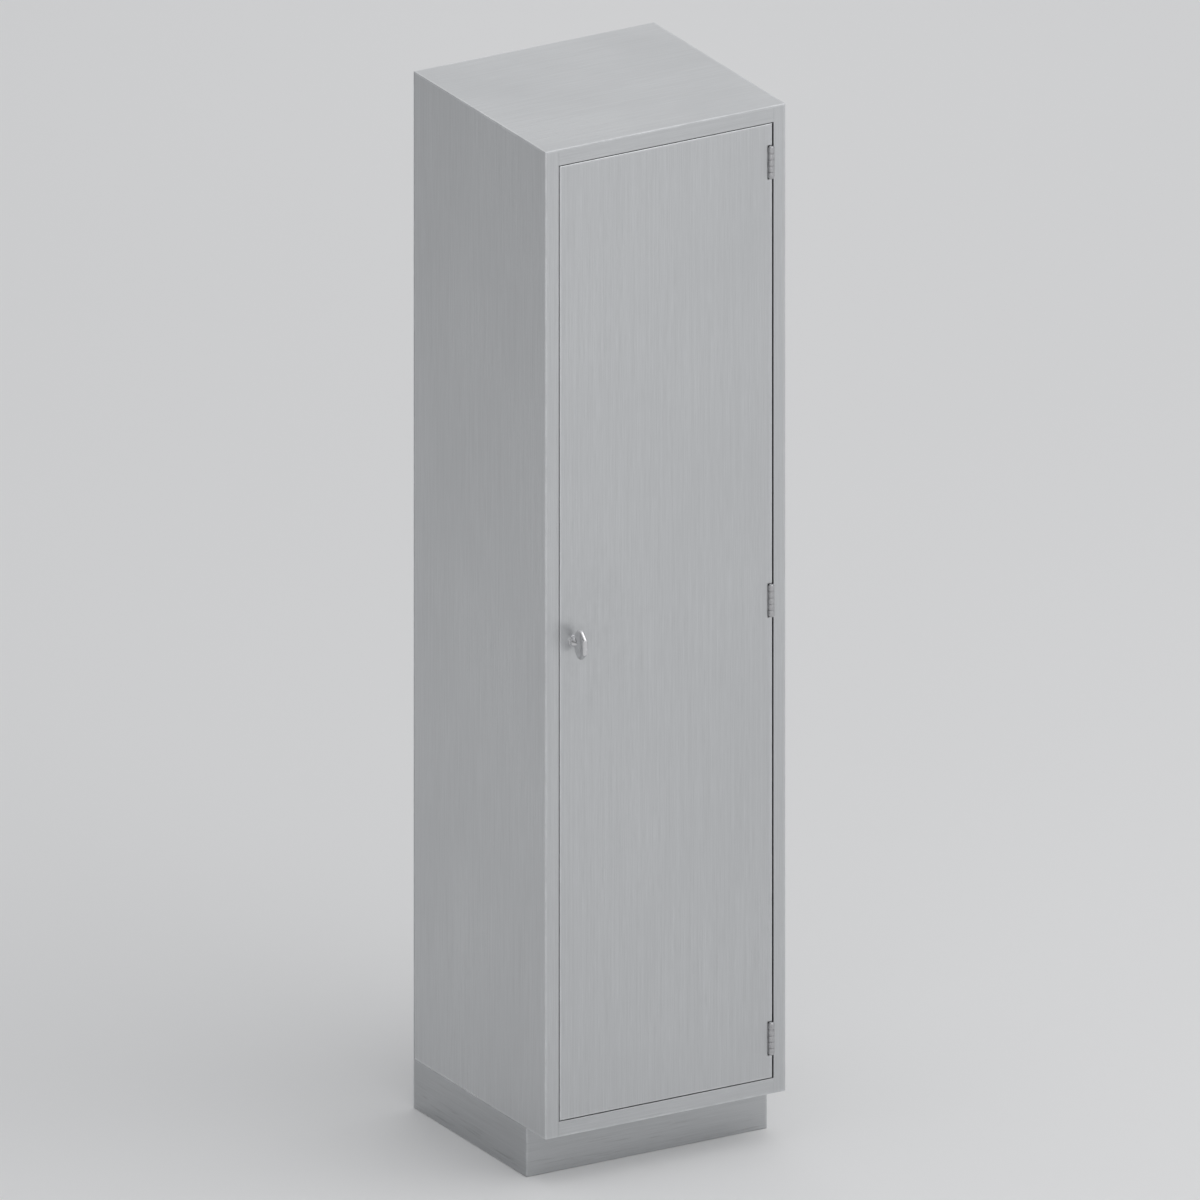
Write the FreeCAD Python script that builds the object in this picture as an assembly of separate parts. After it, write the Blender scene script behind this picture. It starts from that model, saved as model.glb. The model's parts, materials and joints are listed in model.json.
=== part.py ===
"""Tall single-door stainless steel storage cabinet, as an assembly of folded sheet and hardware.

Millimetres. X runs left to right as seen from the front, the front faces -Y and Z is up.
The origin is on the floor, under the middle of the overall box, handle included.
Places along the depth are written as distances behind the face of the case (negative in front of it).
"""
import FreeCAD, Part
import math
import os

os.makedirs("parts", exist_ok=True)
Vector = FreeCAD.Vector
SAME_PLACE = 1e-6

# Overall case
CASE_WIDTH = 533.4
CASE_DEPTH = 508.0
OVERALL_HEIGHT = 2133.6
CASE_SHEET = 1.2
FOLD_RADIUS = 2.0
CRISP_EDGE = 0.6
REAR_FLANGE = 15.0
PANEL_FLANGE = 20.0
WELD_FLANGE = 18.0
CORNER_RELIEF = 1.0

# Plinth and levellers
PLINTH_HEIGHT = 101.6
TOE_RECESS = 73.0
PLINTH_SHEET = 1.5
PLINTH_FLANGE = 25.0
GUSSET_MARGIN = 28.0
GUSSET_THICKNESS = 3.0
GUSSET_DROP = 43.6
GUSSET_CORNER_CUT = 34.0
NUT_RADIUS = 9.0
NUT_LENGTH = 16.0
LEVELLER_FOOT_RADIUS = 19.0
LEVELLER_FOOT_HEIGHT = 7.0
LEVELLER_FOOT_GAP = 2.0
LEVELLER_LIFT = 0.8
LEVELLER_STEM_RADIUS = 5.0
LEVELLER_FOOT_CHAMFER = 1.75
LEVELLER_SPARE = 27.0
LEVELLER_SLOT_WIDTH = 1.6
LEVELLER_SLOT_DEPTH = 3.0
ACCESS_HOLE_RADIUS = 9.5
ACCESS_PLUG_RIM = 3.0
ACCESS_PLUG_HEIGHT = 1.5

# Face frame
LATCH_STILE = 30.2
HINGE_STILE = 26.6
HEADER_HEIGHT = 33.4
SILL_HEIGHT = 30.9
STOP_GAP = 2.95
STOP_LIP = 12.0
LATCH_STOP_LIP = 9.0
HINGE_RETURN_MARGIN = 4.0

# Wall anchor holes in the back
ANCHOR_SPACING = 300.0
ANCHOR_DROP = 75.0
ANCHOR_HOLE_RADIUS = 4.25

# Shelves, their clips and the slotted standards
SHELF_COUNT = 5
SHELF_HEIGHT = 25.4
SHELF_LATCH_GAP = 8.5
SHELF_REAR_GAP = 6.0
SHELF_SIDE_GAP = 1.0
SHELF_HEM = 15.0
STANDARD_WIDTH = 19.0
STANDARD_DEPTH = 5.0
STANDARD_INSET = 85.0
STANDARD_FOOT_GAP = 25.0
STANDARD_HEAD_GAP = 35.0
SLOT_PITCH = 25.4
SLOT_MARGIN = 20.0
SLOT_WIDTH = 3.0
SLOT_HEIGHT = 10.0
CLIP_SHEET = 1.5
CLIP_WIDTH = 13.0
CLIP_HEIGHT = 16.0
CLIP_LEDGE = 14.0
CLIP_TAB_GAP = 0.2

# Door
DOOR_THICKNESS = 19.05
DOOR_SHEET = 1.0
DOOR_EDGE_RADIUS = 1.5
LATCH_GAP = 1.6
HINGE_LEAF_GAP = 1.0
EDGE_GAP = 1.6
INNER_PAN_FLANGE = 10.0
CORE_MARGIN = 14.0
CHANNEL_SHEET = 1.5
CHANNEL_OVERHANG = 6.65
CHANNEL_NOTCH_GAP = 1.5
BUMPER_RADIUS = 3.5
BUMPER_GAP = 0.35
BUMPER_END = 150.0

# Hinges
HINGE_END = 114.3
HINGE_HEIGHT = 63.5
KNUCKLES = 5
BARREL_RADIUS = 6.35
PIN_RADIUS = 3.175
PIN_CAP_STEP = 0.55
PIN_CAP_HEIGHT = 2.6
PIN_CAP_CROWN = 2.6
HINGE_AXIS_PROUD = 1.5
LEAF_THICKNESS = 2.0
FRAME_LEAF_DEPTH = 29.0
DOOR_LEAF_WIDTH = 42.0
KNUCKLE_GAP = 0.2
KNUCKLE_CLEARANCE = 0.5
NOTCH_CLEARANCE = 0.8
HINGE_SCREW_END = 12.75
FRAME_SCREW_EDGE = 7.0
FRAME_SCREW_SPACING = 11.0
DOOR_SCREW_EDGE = 8.0
DOOR_SCREW_SPACING = 16.0

# Screws
SCREW_RADIUS = 2.0
COUNTERSINK_RADIUS = 3.6
COUNTERSINK_DEPTH = 1.6
SCREW_HEAD_RADIUS = 3.5
SCREW_HEAD_HEIGHT = 2.4
SCREW_TAIL = 5.0

# Turn handle
HANDLE_PROJECTION = 48.0
GRIP_HEIGHT = 60.0
GRIP_THICKNESS = 10.0
GRIP_STANDOFF = 4.5
GRIP_BACK_SLOPE = 12.0
GRIP_BACK_DROP = 12.0
GRIP_BAND = 10.0
GRIP_FRONT_DROP = 15.0
GRIP_SHOULDER_ROUNDING = 8.5
GRIP_CORNER_ROUNDING = 6.0
GRIP_RIM_ROUNDING = 4.0
HUB_RADIUS = 11.0
HUB_LENGTH = 5.0
HUB_TAPER = 11.0
HUB_TIP_RADIUS = 4.5
ROSE_RADIUS = 12.0
ROSE_BASE = 4.0
ROSE_NECK_RADIUS = 10.5
ROSE_PROJECTION = 5.5
ROSE_ROUNDING = 1.0
SPINDLE_RADIUS = 4.0
SPINDLE_COVER = 30.0
BUSH_RADIUS = 7.0
RUNNING_CLEARANCE = 0.05
FACE_CLEARANCE = 0.3

# Three-point latch on the inside of the door
GEAR_MODULE = 1.0
GEAR_TEETH = 18
DEDENDUM_FACTOR = 1.25
PRESSURE_ANGLE = math.radians(20.0)
BACKLASH = 0.2
FLANK_STEPS = 5
GEAR_THICKNESS = 7.0
RACK_BACK = 4.5
RACK_LEAD = 16.0
LATCH_TURN = math.radians(90.0)
LATCH_SHEET = 1.2
LATCH_END_GAP = 8.0
LATCH_EAR = 14.0
LATCH_LIP_GAP = 4.1
LATCH_WALL_GAP = 1.5
CAM_OVERLAP = 5.2
CAM_TAIL = 9.0
CAM_HALF_WIDTH = 6.5
CAM_THICKNESS = 2.9
CAM_STOP_GAP = 1.2
CAM_WINDOW_GAP = 0.8
STACK_GAP = 0.5
SPINDLE_NUT_SIDES = 6
SPINDLE_NUT_RADIUS = 7.5
SPINDLE_NUT_HEIGHT = 6.0
ROD_RADIUS = 4.0
ROD_STOP_GAP = 1.5
ROD_END_GAP = 1.5
ROD_TIP = 1.5
GUIDE_SIDE = 4.5
GUIDE_HALF_HEIGHT = 8.0
GUIDE_WALL = 3.0
GUIDE_BASE = 2.0
GUIDE_EAR = 12.0
GUIDE_BORE_CLEARANCE = 0.08
GUIDE_NEAR = 160.0
GUIDE_FAR = 80.0

# Places worked out from the sizes above
FRONT_Y = -(CASE_DEPTH - HANDLE_PROJECTION) / 2
LEFT = -CASE_WIDTH / 2
RIGHT = CASE_WIDTH / 2
CASE_BOTTOM = PLINTH_HEIGHT
CASE_TOP = OVERALL_HEIGHT
CASE_MIDDLE = (CASE_BOTTOM + CASE_TOP) / 2
OPENING_LEFT = LEFT + LATCH_STILE
OPENING_RIGHT = RIGHT - HINGE_STILE
OPENING_BOTTOM = CASE_BOTTOM + SILL_HEIGHT
OPENING_TOP = CASE_TOP - HEADER_HEIGHT
STOP_DEPTH = DOOR_THICKNESS + STOP_GAP
STOP_BACK = STOP_DEPTH + CASE_SHEET
HINGE_RETURN = FRAME_LEAF_DEPTH + HINGE_RETURN_MARGIN
HINGE_GAP = LEAF_THICKNESS + HINGE_LEAF_GAP
BACK_INSIDE = CASE_DEPTH - CASE_SHEET
DOOR_LEFT = OPENING_LEFT + LATCH_GAP
DOOR_RIGHT = OPENING_RIGHT - HINGE_GAP
DOOR_BOTTOM = OPENING_BOTTOM + EDGE_GAP
DOOR_TOP = OPENING_TOP - EDGE_GAP
DOOR_INSIDE = DOOR_THICKNESS - DOOR_SHEET
HINGE_X = OPENING_RIGHT - BARREL_RADIUS
HINGE_DEPTH = -HINGE_AXIS_PROUD
HINGE_HEIGHTS = (CASE_TOP - HINGE_END, CASE_MIDDLE, CASE_BOTTOM + HINGE_END)
HINGE_NAMES = ("top", "middle", "bottom")
HINGE_SCREW_SPREAD = HINGE_HEIGHT / 2 - HINGE_SCREW_END
FRAME_SCREW_LAST = FRAME_LEAF_DEPTH - FRAME_SCREW_EDGE
FRAME_SCREW_DEPTHS = (FRAME_SCREW_LAST - FRAME_SCREW_SPACING, FRAME_SCREW_LAST)
DOOR_SCREW_LAST = DOOR_LEAF_WIDTH - DOOR_SCREW_EDGE
DOOR_SCREW_INSETS = (DOOR_SCREW_LAST - DOOR_SCREW_SPACING, DOOR_SCREW_LAST)
PIN_CAP_RADIUS = BARREL_RADIUS - PIN_CAP_STEP
NOTCH_REACH = BARREL_RADIUS + NOTCH_CLEARANCE
LEAF_BACK = DOOR_SHEET + LEAF_THICKNESS
PITCH_RADIUS = GEAR_MODULE * GEAR_TEETH / 2
RACK_PITCH = math.pi * GEAR_MODULE
ADDENDUM = GEAR_MODULE
DEDENDUM = DEDENDUM_FACTOR * GEAR_MODULE
ROD_TRAVEL = PITCH_RADIUS * LATCH_TURN
RACK_TAIL = RACK_LEAD + ROD_TRAVEL
ROD_OFFSET = PITCH_RADIUS + DEDENDUM + RACK_BACK / 2
ROD_DEPTH = STOP_BACK + ROD_STOP_GAP + ROD_RADIUS
LATCH_BASE_BACK = DOOR_THICKNESS + LATCH_SHEET
CAM_FRONT = STOP_BACK + CAM_STOP_GAP
GEAR_FRONT = CAM_FRONT + CAM_THICKNESS + STACK_GAP
GEAR_BACK = GEAR_FRONT + GEAR_THICKNESS
COVER_FRONT = GEAR_BACK + CAM_STOP_GAP
COVER_BACK = COVER_FRONT + LATCH_SHEET
NUT_FRONT = COVER_BACK + FACE_CLEARANCE
NUT_BACK = NUT_FRONT + SPINDLE_NUT_HEIGHT
SHELF_FRONT = NUT_BACK + SHELF_LATCH_GAP
LATCH_HALF_WIDTH = ROD_OFFSET + ROD_RADIUS + LATCH_WALL_GAP + LATCH_SHEET
CAM_LENGTH = LATCH_HALF_WIDTH + LATCH_LIP_GAP + CAM_OVERLAP
LATCH_HALF_HEIGHT = max(RACK_TAIL, CAM_LENGTH) + LATCH_END_GAP
LATCH_EAR_SCREW = LATCH_HALF_HEIGHT + LATCH_EAR / 2
HANDLE_X = OPENING_LEFT + LATCH_STOP_LIP + LATCH_LIP_GAP + LATCH_HALF_WIDTH
HANDLE_Z = CASE_MIDDLE
GRIP_BACK = ROSE_PROJECTION + GRIP_STANDOFF
GRIP_SHOULDER_BACK = GRIP_BACK + GRIP_BACK_SLOPE
GRIP_SHOULDER_FRONT = GRIP_SHOULDER_BACK + GRIP_BAND
HUB_BACK = ROSE_PROJECTION + FACE_CLEARANCE
HUB_SHOULDER = HUB_BACK + HUB_LENGTH
SPINDLE_GRIP_END = HANDLE_PROJECTION - SPINDLE_COVER
GUIDE_HALF_WIDTH = ROD_RADIUS + GUIDE_SIDE
GUIDE_BASE_HALF_HEIGHT = GUIDE_HALF_HEIGHT + GUIDE_EAR
GUIDE_SCREW = GUIDE_HALF_HEIGHT + GUIDE_EAR / 2
STANDARD_BOTTOM = CASE_BOTTOM + CASE_SHEET + STANDARD_FOOT_GAP
STANDARD_TOP = CASE_TOP - CASE_SHEET - STANDARD_HEAD_GAP
STANDARD_DEPTHS = (STANDARD_INSET, CASE_DEPTH - STANDARD_INSET)
SLOT_COUNT = int((STANDARD_TOP - STANDARD_BOTTOM - 2 * SLOT_MARGIN) / SLOT_PITCH) + 1
SLOTS_BELOW = round((STANDARD_FOOT_GAP + SLOT_MARGIN) / SLOT_PITCH)
SHELF_SLOT_STEP = round(SLOT_COUNT / (SHELF_COUNT + 1))
LEVELLER_OFFSET = PLINTH_FLANGE + LEVELLER_FOOT_GAP + LEVELLER_FOOT_RADIUS
GUSSET_SIZE = LEVELLER_OFFSET + GUSSET_MARGIN
GUSSET_UNDERSIDE = PLINTH_HEIGHT - GUSSET_DROP
GUSSET_TOP = GUSSET_UNDERSIDE + GUSSET_THICKNESS
LEVELLER_PLACES = {
    "front_left": (LEFT + LEVELLER_OFFSET, TOE_RECESS + LEVELLER_OFFSET),
    "front_right": (RIGHT - LEVELLER_OFFSET, TOE_RECESS + LEVELLER_OFFSET),
    "rear_left": (LEFT + LEVELLER_OFFSET, CASE_DEPTH - LEVELLER_OFFSET),
    "rear_right": (RIGHT - LEVELLER_OFFSET, CASE_DEPTH - LEVELLER_OFFSET),
}


# Shape helpers
def point(x, depth, z):
    """A point from its place across, its depth behind the case front and its height."""
    return Vector(x, FRONT_Y + depth, z)


def block(x0, x1, depth0, depth1, z0, z1):
    """A box between two corners."""
    return Part.makeBox(x1 - x0, depth1 - depth0, z1 - z0, point(x0, depth0, z0))


def upright(radius, x, depth, z0, z1):
    """A cylinder along the height."""
    return Part.makeCylinder(radius, z1 - z0, point(x, depth, z0), Vector(0, 0, 1))


def fore_aft(radius, x, z, depth0, depth1):
    """A cylinder along the depth."""
    return Part.makeCylinder(radius, depth1 - depth0, point(x, depth0, z), Vector(0, 1, 0))


def crosswise(radius, depth, z, x0, x1):
    """A cylinder across the width."""
    return Part.makeCylinder(radius, x1 - x0, point(x0, depth, z), Vector(1, 0, 0))


def joined(*shapes):
    """One solid out of touching shapes."""
    return shapes[0].multiFuse(list(shapes[1:])).removeSplitter()


def save(name, shapes):
    """Write one node, a single solid or a group of like solids."""
    solids = shapes if isinstance(shapes, list) else [shapes]
    shape = solids[0] if len(solids) == 1 else Part.makeCompound(solids)
    shape.exportStep(f"parts/{name}.step")


def turn_at(before, corner, after):
    """Unit directions into and out of a corner."""
    into = (corner - before).normalize()
    out = (after - corner).normalize()
    return into, out


def rounded_face(corners):
    """A flat face from 3D corner points, each with the radius that rounds it (0 for sharp)."""
    count = len(corners)
    edges = []
    starts = []
    ends = []
    arcs = []
    for index, (corner, radius) in enumerate(corners):
        before = corners[index - 1][0]
        after = corners[(index + 1) % count][0]
        into, out = turn_at(before, corner, after)
        turn = into.getAngle(out)
        setback = radius * math.tan(turn / 2)
        start = corner - into * setback
        end = corner + out * setback
        inward = (out - into).normalize()
        to_centre = radius / math.cos(turn / 2)
        middle = corner + inward * (to_centre - radius)
        starts.append(start)
        ends.append(end)
        arcs.append(Part.Arc(start, middle, end).toShape() if radius > 0 else None)
    for index in range(count):
        if arcs[index]:
            edges.append(arcs[index])
        following = starts[(index + 1) % count]
        if (following - ends[index]).Length > SAME_PLACE:
            edges.append(Part.LineSegment(ends[index], following).toShape())
    return Part.Face(Part.Wire(edges))


def folded_outline(path, sheet):
    """Both sides of a folded sheet: path lists (u, v, outside bend radius), with the metal on its left."""
    places = [Vector(u, v, 0) for u, v, _ in path]
    steps = [(b - a).normalize() for a, b in zip(places, places[1:])]
    lefts = [Vector(-step.y, step.x, 0) for step in steps]
    near = []
    far = []
    for index, (_, _, radius) in enumerate(path):
        inside = max(radius - sheet, 0)
        if 0 < index < len(path) - 1:
            first, second = lefts[index - 1], lefts[index]
            offset = (first + second) * (sheet / (1 + first.dot(second)))
            turns_left = steps[index - 1].cross(steps[index]).z > 0
            near.append((places[index], radius if turns_left else inside))
            far.append((places[index] + offset, inside if turns_left else radius))
        else:
            side = lefts[min(index, len(lefts) - 1)]
            near.append((places[index], 0))
            far.append((places[index] + side * sheet, 0))
    return near + far[::-1]


def folded_upright(path, sheet, z0, z1):
    """A sheet folded about the height: path in (x, depth)."""
    corners = [(point(p.x, p.y, z0), radius) for p, radius in folded_outline(path, sheet)]
    return rounded_face(corners).extrude(Vector(0, 0, z1 - z0))


def folded_crosswise(path, sheet, x0, x1):
    """A sheet folded about the width: path in (depth, z)."""
    corners = [(point(x0, p.x, p.y), radius) for p, radius in folded_outline(path, sheet)]
    return rounded_face(corners).extrude(Vector(x1 - x0, 0, 0))


def folded_fore_aft(path, sheet, depth0, depth1):
    """A sheet folded about the depth: path in (x, z)."""
    corners = [(point(p.x, depth0, p.y), radius) for p, radius in folded_outline(path, sheet)]
    return rounded_face(corners).extrude(Vector(0, depth1 - depth0, 0))


def rim_edges(shape, axis, place):
    """The edges that lie in one plane, given by an axis (0, 1, 2) and its place."""
    rim = []
    for edge in shape.Edges:
        if all(abs(vertex.Point[axis] - place) < SAME_PLACE for vertex in edge.Vertexes):
            rim.append(edge)
    return rim


def rounded_rim(shape, axis, place, radius):
    """Round the edges that lie in one plane."""
    return shape.makeFillet(radius, rim_edges(shape, axis, place))


def countersunk_x(depth, z, x0, length):
    """A countersunk screw across the width, its flat head at x0 and its tip towards +X."""
    head = Part.makeCone(
        COUNTERSINK_RADIUS, SCREW_RADIUS, COUNTERSINK_DEPTH, point(x0, depth, z), Vector(1, 0, 0)
    )
    return joined(head, crosswise(SCREW_RADIUS, depth, z, x0 + COUNTERSINK_DEPTH, x0 + length))


def round_head_screw(x, z, tip_depth, seat_depth):
    """A screw along the depth, its head behind the seat and its tip towards the door's face."""
    head = fore_aft(SCREW_HEAD_RADIUS, x, z, seat_depth, seat_depth + SCREW_HEAD_HEIGHT)
    return joined(head, fore_aft(SCREW_RADIUS, x, z, tip_depth, seat_depth))


# Case
def make_side_panels():
    """Wall, stile and rear flange from one sheet, the stile's return trimmed to stand on the bottom."""
    top = CASE_TOP - CASE_SHEET
    left_path = [
        (LEFT + REAR_FLANGE, BACK_INSIDE, 0),
        (LEFT, BACK_INSIDE, FOLD_RADIUS),
        (LEFT, 0, FOLD_RADIUS),
        (OPENING_LEFT, 0, CRISP_EDGE),
        (OPENING_LEFT, STOP_DEPTH, FOLD_RADIUS),
        (OPENING_LEFT + LATCH_STOP_LIP, STOP_DEPTH, 0),
    ]
    left = folded_upright(left_path, CASE_SHEET, CASE_BOTTOM, top)
    lip_end = OPENING_LEFT + LATCH_STOP_LIP
    for z0, z1 in ((CASE_BOTTOM, OPENING_BOTTOM + STOP_LIP), (OPENING_TOP - STOP_LIP, top)):
        left = left.cut(block(OPENING_LEFT, lip_end, STOP_DEPTH - FOLD_RADIUS, STOP_BACK, z0, z1))
    right_path = [
        (OPENING_RIGHT, HINGE_RETURN, 0),
        (OPENING_RIGHT, 0, CRISP_EDGE),
        (RIGHT, 0, FOLD_RADIUS),
        (RIGHT, BACK_INSIDE, FOLD_RADIUS),
        (RIGHT - REAR_FLANGE, BACK_INSIDE, 0),
    ]
    right = folded_upright(right_path, CASE_SHEET, CASE_BOTTOM, top)
    for screw in frame_screws():
        right = right.cut(screw)
    foot_top = CASE_BOTTOM + CASE_SHEET
    left_foot = block(LEFT + CASE_SHEET, OPENING_LEFT, CASE_SHEET, STOP_BACK, CASE_BOTTOM, foot_top)
    right_foot = block(OPENING_RIGHT, RIGHT - CASE_SHEET, CASE_SHEET, HINGE_RETURN, CASE_BOTTOM, foot_top)
    save("left_side_panel", left.cut(left_foot))
    save("right_side_panel", right.cut(right_foot))


def make_rails():
    under_top = CASE_TOP - CASE_SHEET
    header_path = [
        (WELD_FLANGE, under_top, 0),
        (0, under_top, 0),
        (0, OPENING_TOP, CRISP_EDGE),
        (STOP_DEPTH, OPENING_TOP, FOLD_RADIUS),
        (STOP_DEPTH, OPENING_TOP - STOP_LIP, 0),
    ]
    sill_path = [
        (STOP_DEPTH, OPENING_BOTTOM + STOP_LIP, 0),
        (STOP_DEPTH, OPENING_BOTTOM, FOLD_RADIUS),
        (0, OPENING_BOTTOM, CRISP_EDGE),
        (0, CASE_BOTTOM, 0),
    ]
    flange_top = CASE_BOTTOM + 2 * CASE_SHEET
    sill = folded_crosswise(sill_path, CASE_SHEET, OPENING_LEFT, OPENING_RIGHT)
    foot = block(
        OPENING_LEFT, OPENING_RIGHT, CASE_SHEET, WELD_FLANGE, flange_top - CASE_SHEET, flange_top
    )
    save("header_rail", folded_crosswise(header_path, CASE_SHEET, OPENING_LEFT, OPENING_RIGHT))
    save("sill_rail", joined(sill, foot))


def make_top_panel():
    under_top = CASE_TOP - CASE_SHEET
    sheet = block(LEFT, RIGHT, 0, CASE_DEPTH, under_top, CASE_TOP)
    sheet = rounded_rim(sheet, 2, CASE_TOP, CRISP_EDGE)
    front = HINGE_RETURN + CORNER_RELIEF
    back = BACK_INSIDE - CASE_SHEET - CORNER_RELIEF
    flanges = []
    for x0 in (LEFT + CASE_SHEET, RIGHT - 2 * CASE_SHEET):
        flanges.append(
            block(x0, x0 + CASE_SHEET, front, back, under_top - PANEL_FLANGE, under_top)
        )
    save("top_panel", joined(sheet, *flanges))


def make_bottom_panel():
    inner_left = LEFT + CASE_SHEET
    inner_right = RIGHT - CASE_SHEET
    top = CASE_BOTTOM + CASE_SHEET
    sheet = block(inner_left, inner_right, CASE_SHEET, BACK_INSIDE, CASE_BOTTOM, top)
    front_relief = CASE_SHEET + CORNER_RELIEF
    back_notch = BACK_INSIDE - CASE_SHEET - CORNER_RELIEF
    rear_left = LEFT + REAR_FLANGE + CORNER_RELIEF
    rear_right = RIGHT - REAR_FLANGE - CORNER_RELIEF
    for x0 in (inner_left, inner_right - CORNER_RELIEF):
        sheet = sheet.cut(block(x0, x0 + CORNER_RELIEF, 0, front_relief, CASE_BOTTOM, top))
    for x0, x1 in ((inner_left, rear_left), (rear_right, inner_right)):
        sheet = sheet.cut(block(x0, x1, back_notch, BACK_INSIDE, CASE_BOTTOM, top))
    flange_top = CASE_BOTTOM + PANEL_FLANGE
    flange_front = HINGE_RETURN + CORNER_RELIEF
    flanges = [block(rear_left, rear_right, BACK_INSIDE - CASE_SHEET, BACK_INSIDE, top, flange_top)]
    for x0 in (inner_left, inner_right - CASE_SHEET):
        flanges.append(block(x0, x0 + CASE_SHEET, flange_front, back_notch, top, flange_top))
    panel = joined(sheet, *flanges)
    for x, depth in LEVELLER_PLACES.values():
        panel = panel.cut(upright(ACCESS_HOLE_RADIUS, x, depth, CASE_BOTTOM, top))
    save("bottom_panel", panel)


def make_access_plugs():
    top = CASE_BOTTOM + CASE_SHEET
    plugs = []
    for x, depth in LEVELLER_PLACES.values():
        stem = upright(ACCESS_HOLE_RADIUS, x, depth, CASE_BOTTOM, top)
        rim = upright(ACCESS_HOLE_RADIUS + ACCESS_PLUG_RIM, x, depth, top, top + ACCESS_PLUG_HEIGHT)
        plugs.append(joined(stem, rim))
    save("access_plugs", plugs)


def make_back_panel():
    panel = block(LEFT, RIGHT, BACK_INSIDE, CASE_DEPTH, CASE_BOTTOM, CASE_TOP - CASE_SHEET)
    for x in (-ANCHOR_SPACING / 2, ANCHOR_SPACING / 2):
        panel = panel.cut(
            fore_aft(ANCHOR_HOLE_RADIUS, x, CASE_TOP - ANCHOR_DROP, BACK_INSIDE, CASE_DEPTH)
        )
    save("back_panel", panel)


# Plinth
def make_plinth():
    def channel(near, far):
        return [
            (far, PLINTH_HEIGHT, 0),
            (near, PLINTH_HEIGHT, FOLD_RADIUS),
            (near, 0, FOLD_RADIUS),
            (far, 0, 0),
        ]

    def flange_ends(depth0, depth1):
        ends = []
        for x0 in (LEFT, RIGHT - PLINTH_FLANGE):
            ends.append(block(x0, x0 + PLINTH_FLANGE, depth0, depth1, 0, PLINTH_HEIGHT))
        return ends

    toe_back = TOE_RECESS + PLINTH_SHEET
    rear_front = CASE_DEPTH - PLINTH_SHEET
    toe = folded_crosswise(channel(TOE_RECESS, TOE_RECESS + PLINTH_FLANGE), PLINTH_SHEET, LEFT, RIGHT)
    for end in flange_ends(toe_back, TOE_RECESS + PLINTH_FLANGE):
        toe = toe.cut(end)
    rear_path = channel(CASE_DEPTH, CASE_DEPTH - PLINTH_FLANGE)[::-1]
    rear = folded_crosswise(rear_path, PLINTH_SHEET, LEFT, RIGHT)
    for end in flange_ends(CASE_DEPTH - PLINTH_FLANGE, rear_front):
        rear = rear.cut(end)
    left = folded_fore_aft(channel(LEFT, LEFT + PLINTH_FLANGE), PLINTH_SHEET, toe_back, rear_front)
    right_path = channel(RIGHT, RIGHT - PLINTH_FLANGE)[::-1]
    right = folded_fore_aft(right_path, PLINTH_SHEET, toe_back, rear_front)
    save("toe_kick", toe)
    save("plinth_rear", rear)
    save("plinth_left", left)
    save("plinth_right", right)


def make_gussets_and_levellers():
    gussets = []
    for name, (x, depth) in LEVELLER_PLACES.items():
        side = -1 if "left" in name else 1
        end = -1 if "front" in name else 1
        corner_x = side * (RIGHT - PLINTH_SHEET)
        corner_depth = TOE_RECESS + PLINTH_SHEET if end < 0 else CASE_DEPTH - PLINTH_SHEET
        reach = GUSSET_SIZE
        cut = GUSSET_SIZE - GUSSET_CORNER_CUT
        outline = [
            (corner_x, corner_depth),
            (corner_x - side * reach, corner_depth),
            (corner_x - side * reach, corner_depth - end * cut),
            (corner_x - side * cut, corner_depth - end * reach),
            (corner_x, corner_depth - end * reach),
        ]
        corners = [(point(u, v, GUSSET_UNDERSIDE), 0) for u, v in outline]
        plate = rounded_face(corners).extrude(Vector(0, 0, GUSSET_THICKNESS))
        nut = upright(NUT_RADIUS, x, depth, GUSSET_UNDERSIDE - NUT_LENGTH, GUSSET_UNDERSIDE)
        bore_radius = LEVELLER_STEM_RADIUS + RUNNING_CLEARANCE
        bore = upright(bore_radius, x, depth, GUSSET_UNDERSIDE - NUT_LENGTH, GUSSET_TOP)
        gussets.append(joined(plate, nut).cut(bore))
        save(f"leveller_{name}", leveller(x, depth))
    save("corner_gussets", gussets)


def leveller(x, depth):
    foot_top = LEVELLER_LIFT + LEVELLER_FOOT_HEIGHT
    stem_top = GUSSET_TOP + LEVELLER_SPARE
    foot = upright(LEVELLER_FOOT_RADIUS, x, depth, LEVELLER_LIFT, foot_top)
    foot = foot.makeChamfer(LEVELLER_FOOT_CHAMFER, rim_edges(foot, 2, foot_top))
    stem = upright(LEVELLER_STEM_RADIUS, x, depth, foot_top, stem_top)
    reach = LEVELLER_STEM_RADIUS
    half_slot = LEVELLER_SLOT_WIDTH / 2
    slot = block(
        x - reach, x + reach, depth - half_slot, depth + half_slot, stem_top - LEVELLER_SLOT_DEPTH, stem_top
    )
    return joined(foot, stem).cut(slot)


# Shelves
def slot_height(index):
    """Height of the middle of a slot, counted from the bottom of the standard."""
    return STANDARD_BOTTOM + SLOT_MARGIN + index * SLOT_PITCH


def shelf_slots():
    """The slot each shelf's clips hang in, evenly spread over the height."""
    return [SHELF_SLOT_STEP * number - SLOTS_BELOW for number in range(1, SHELF_COUNT + 1)]


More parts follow.
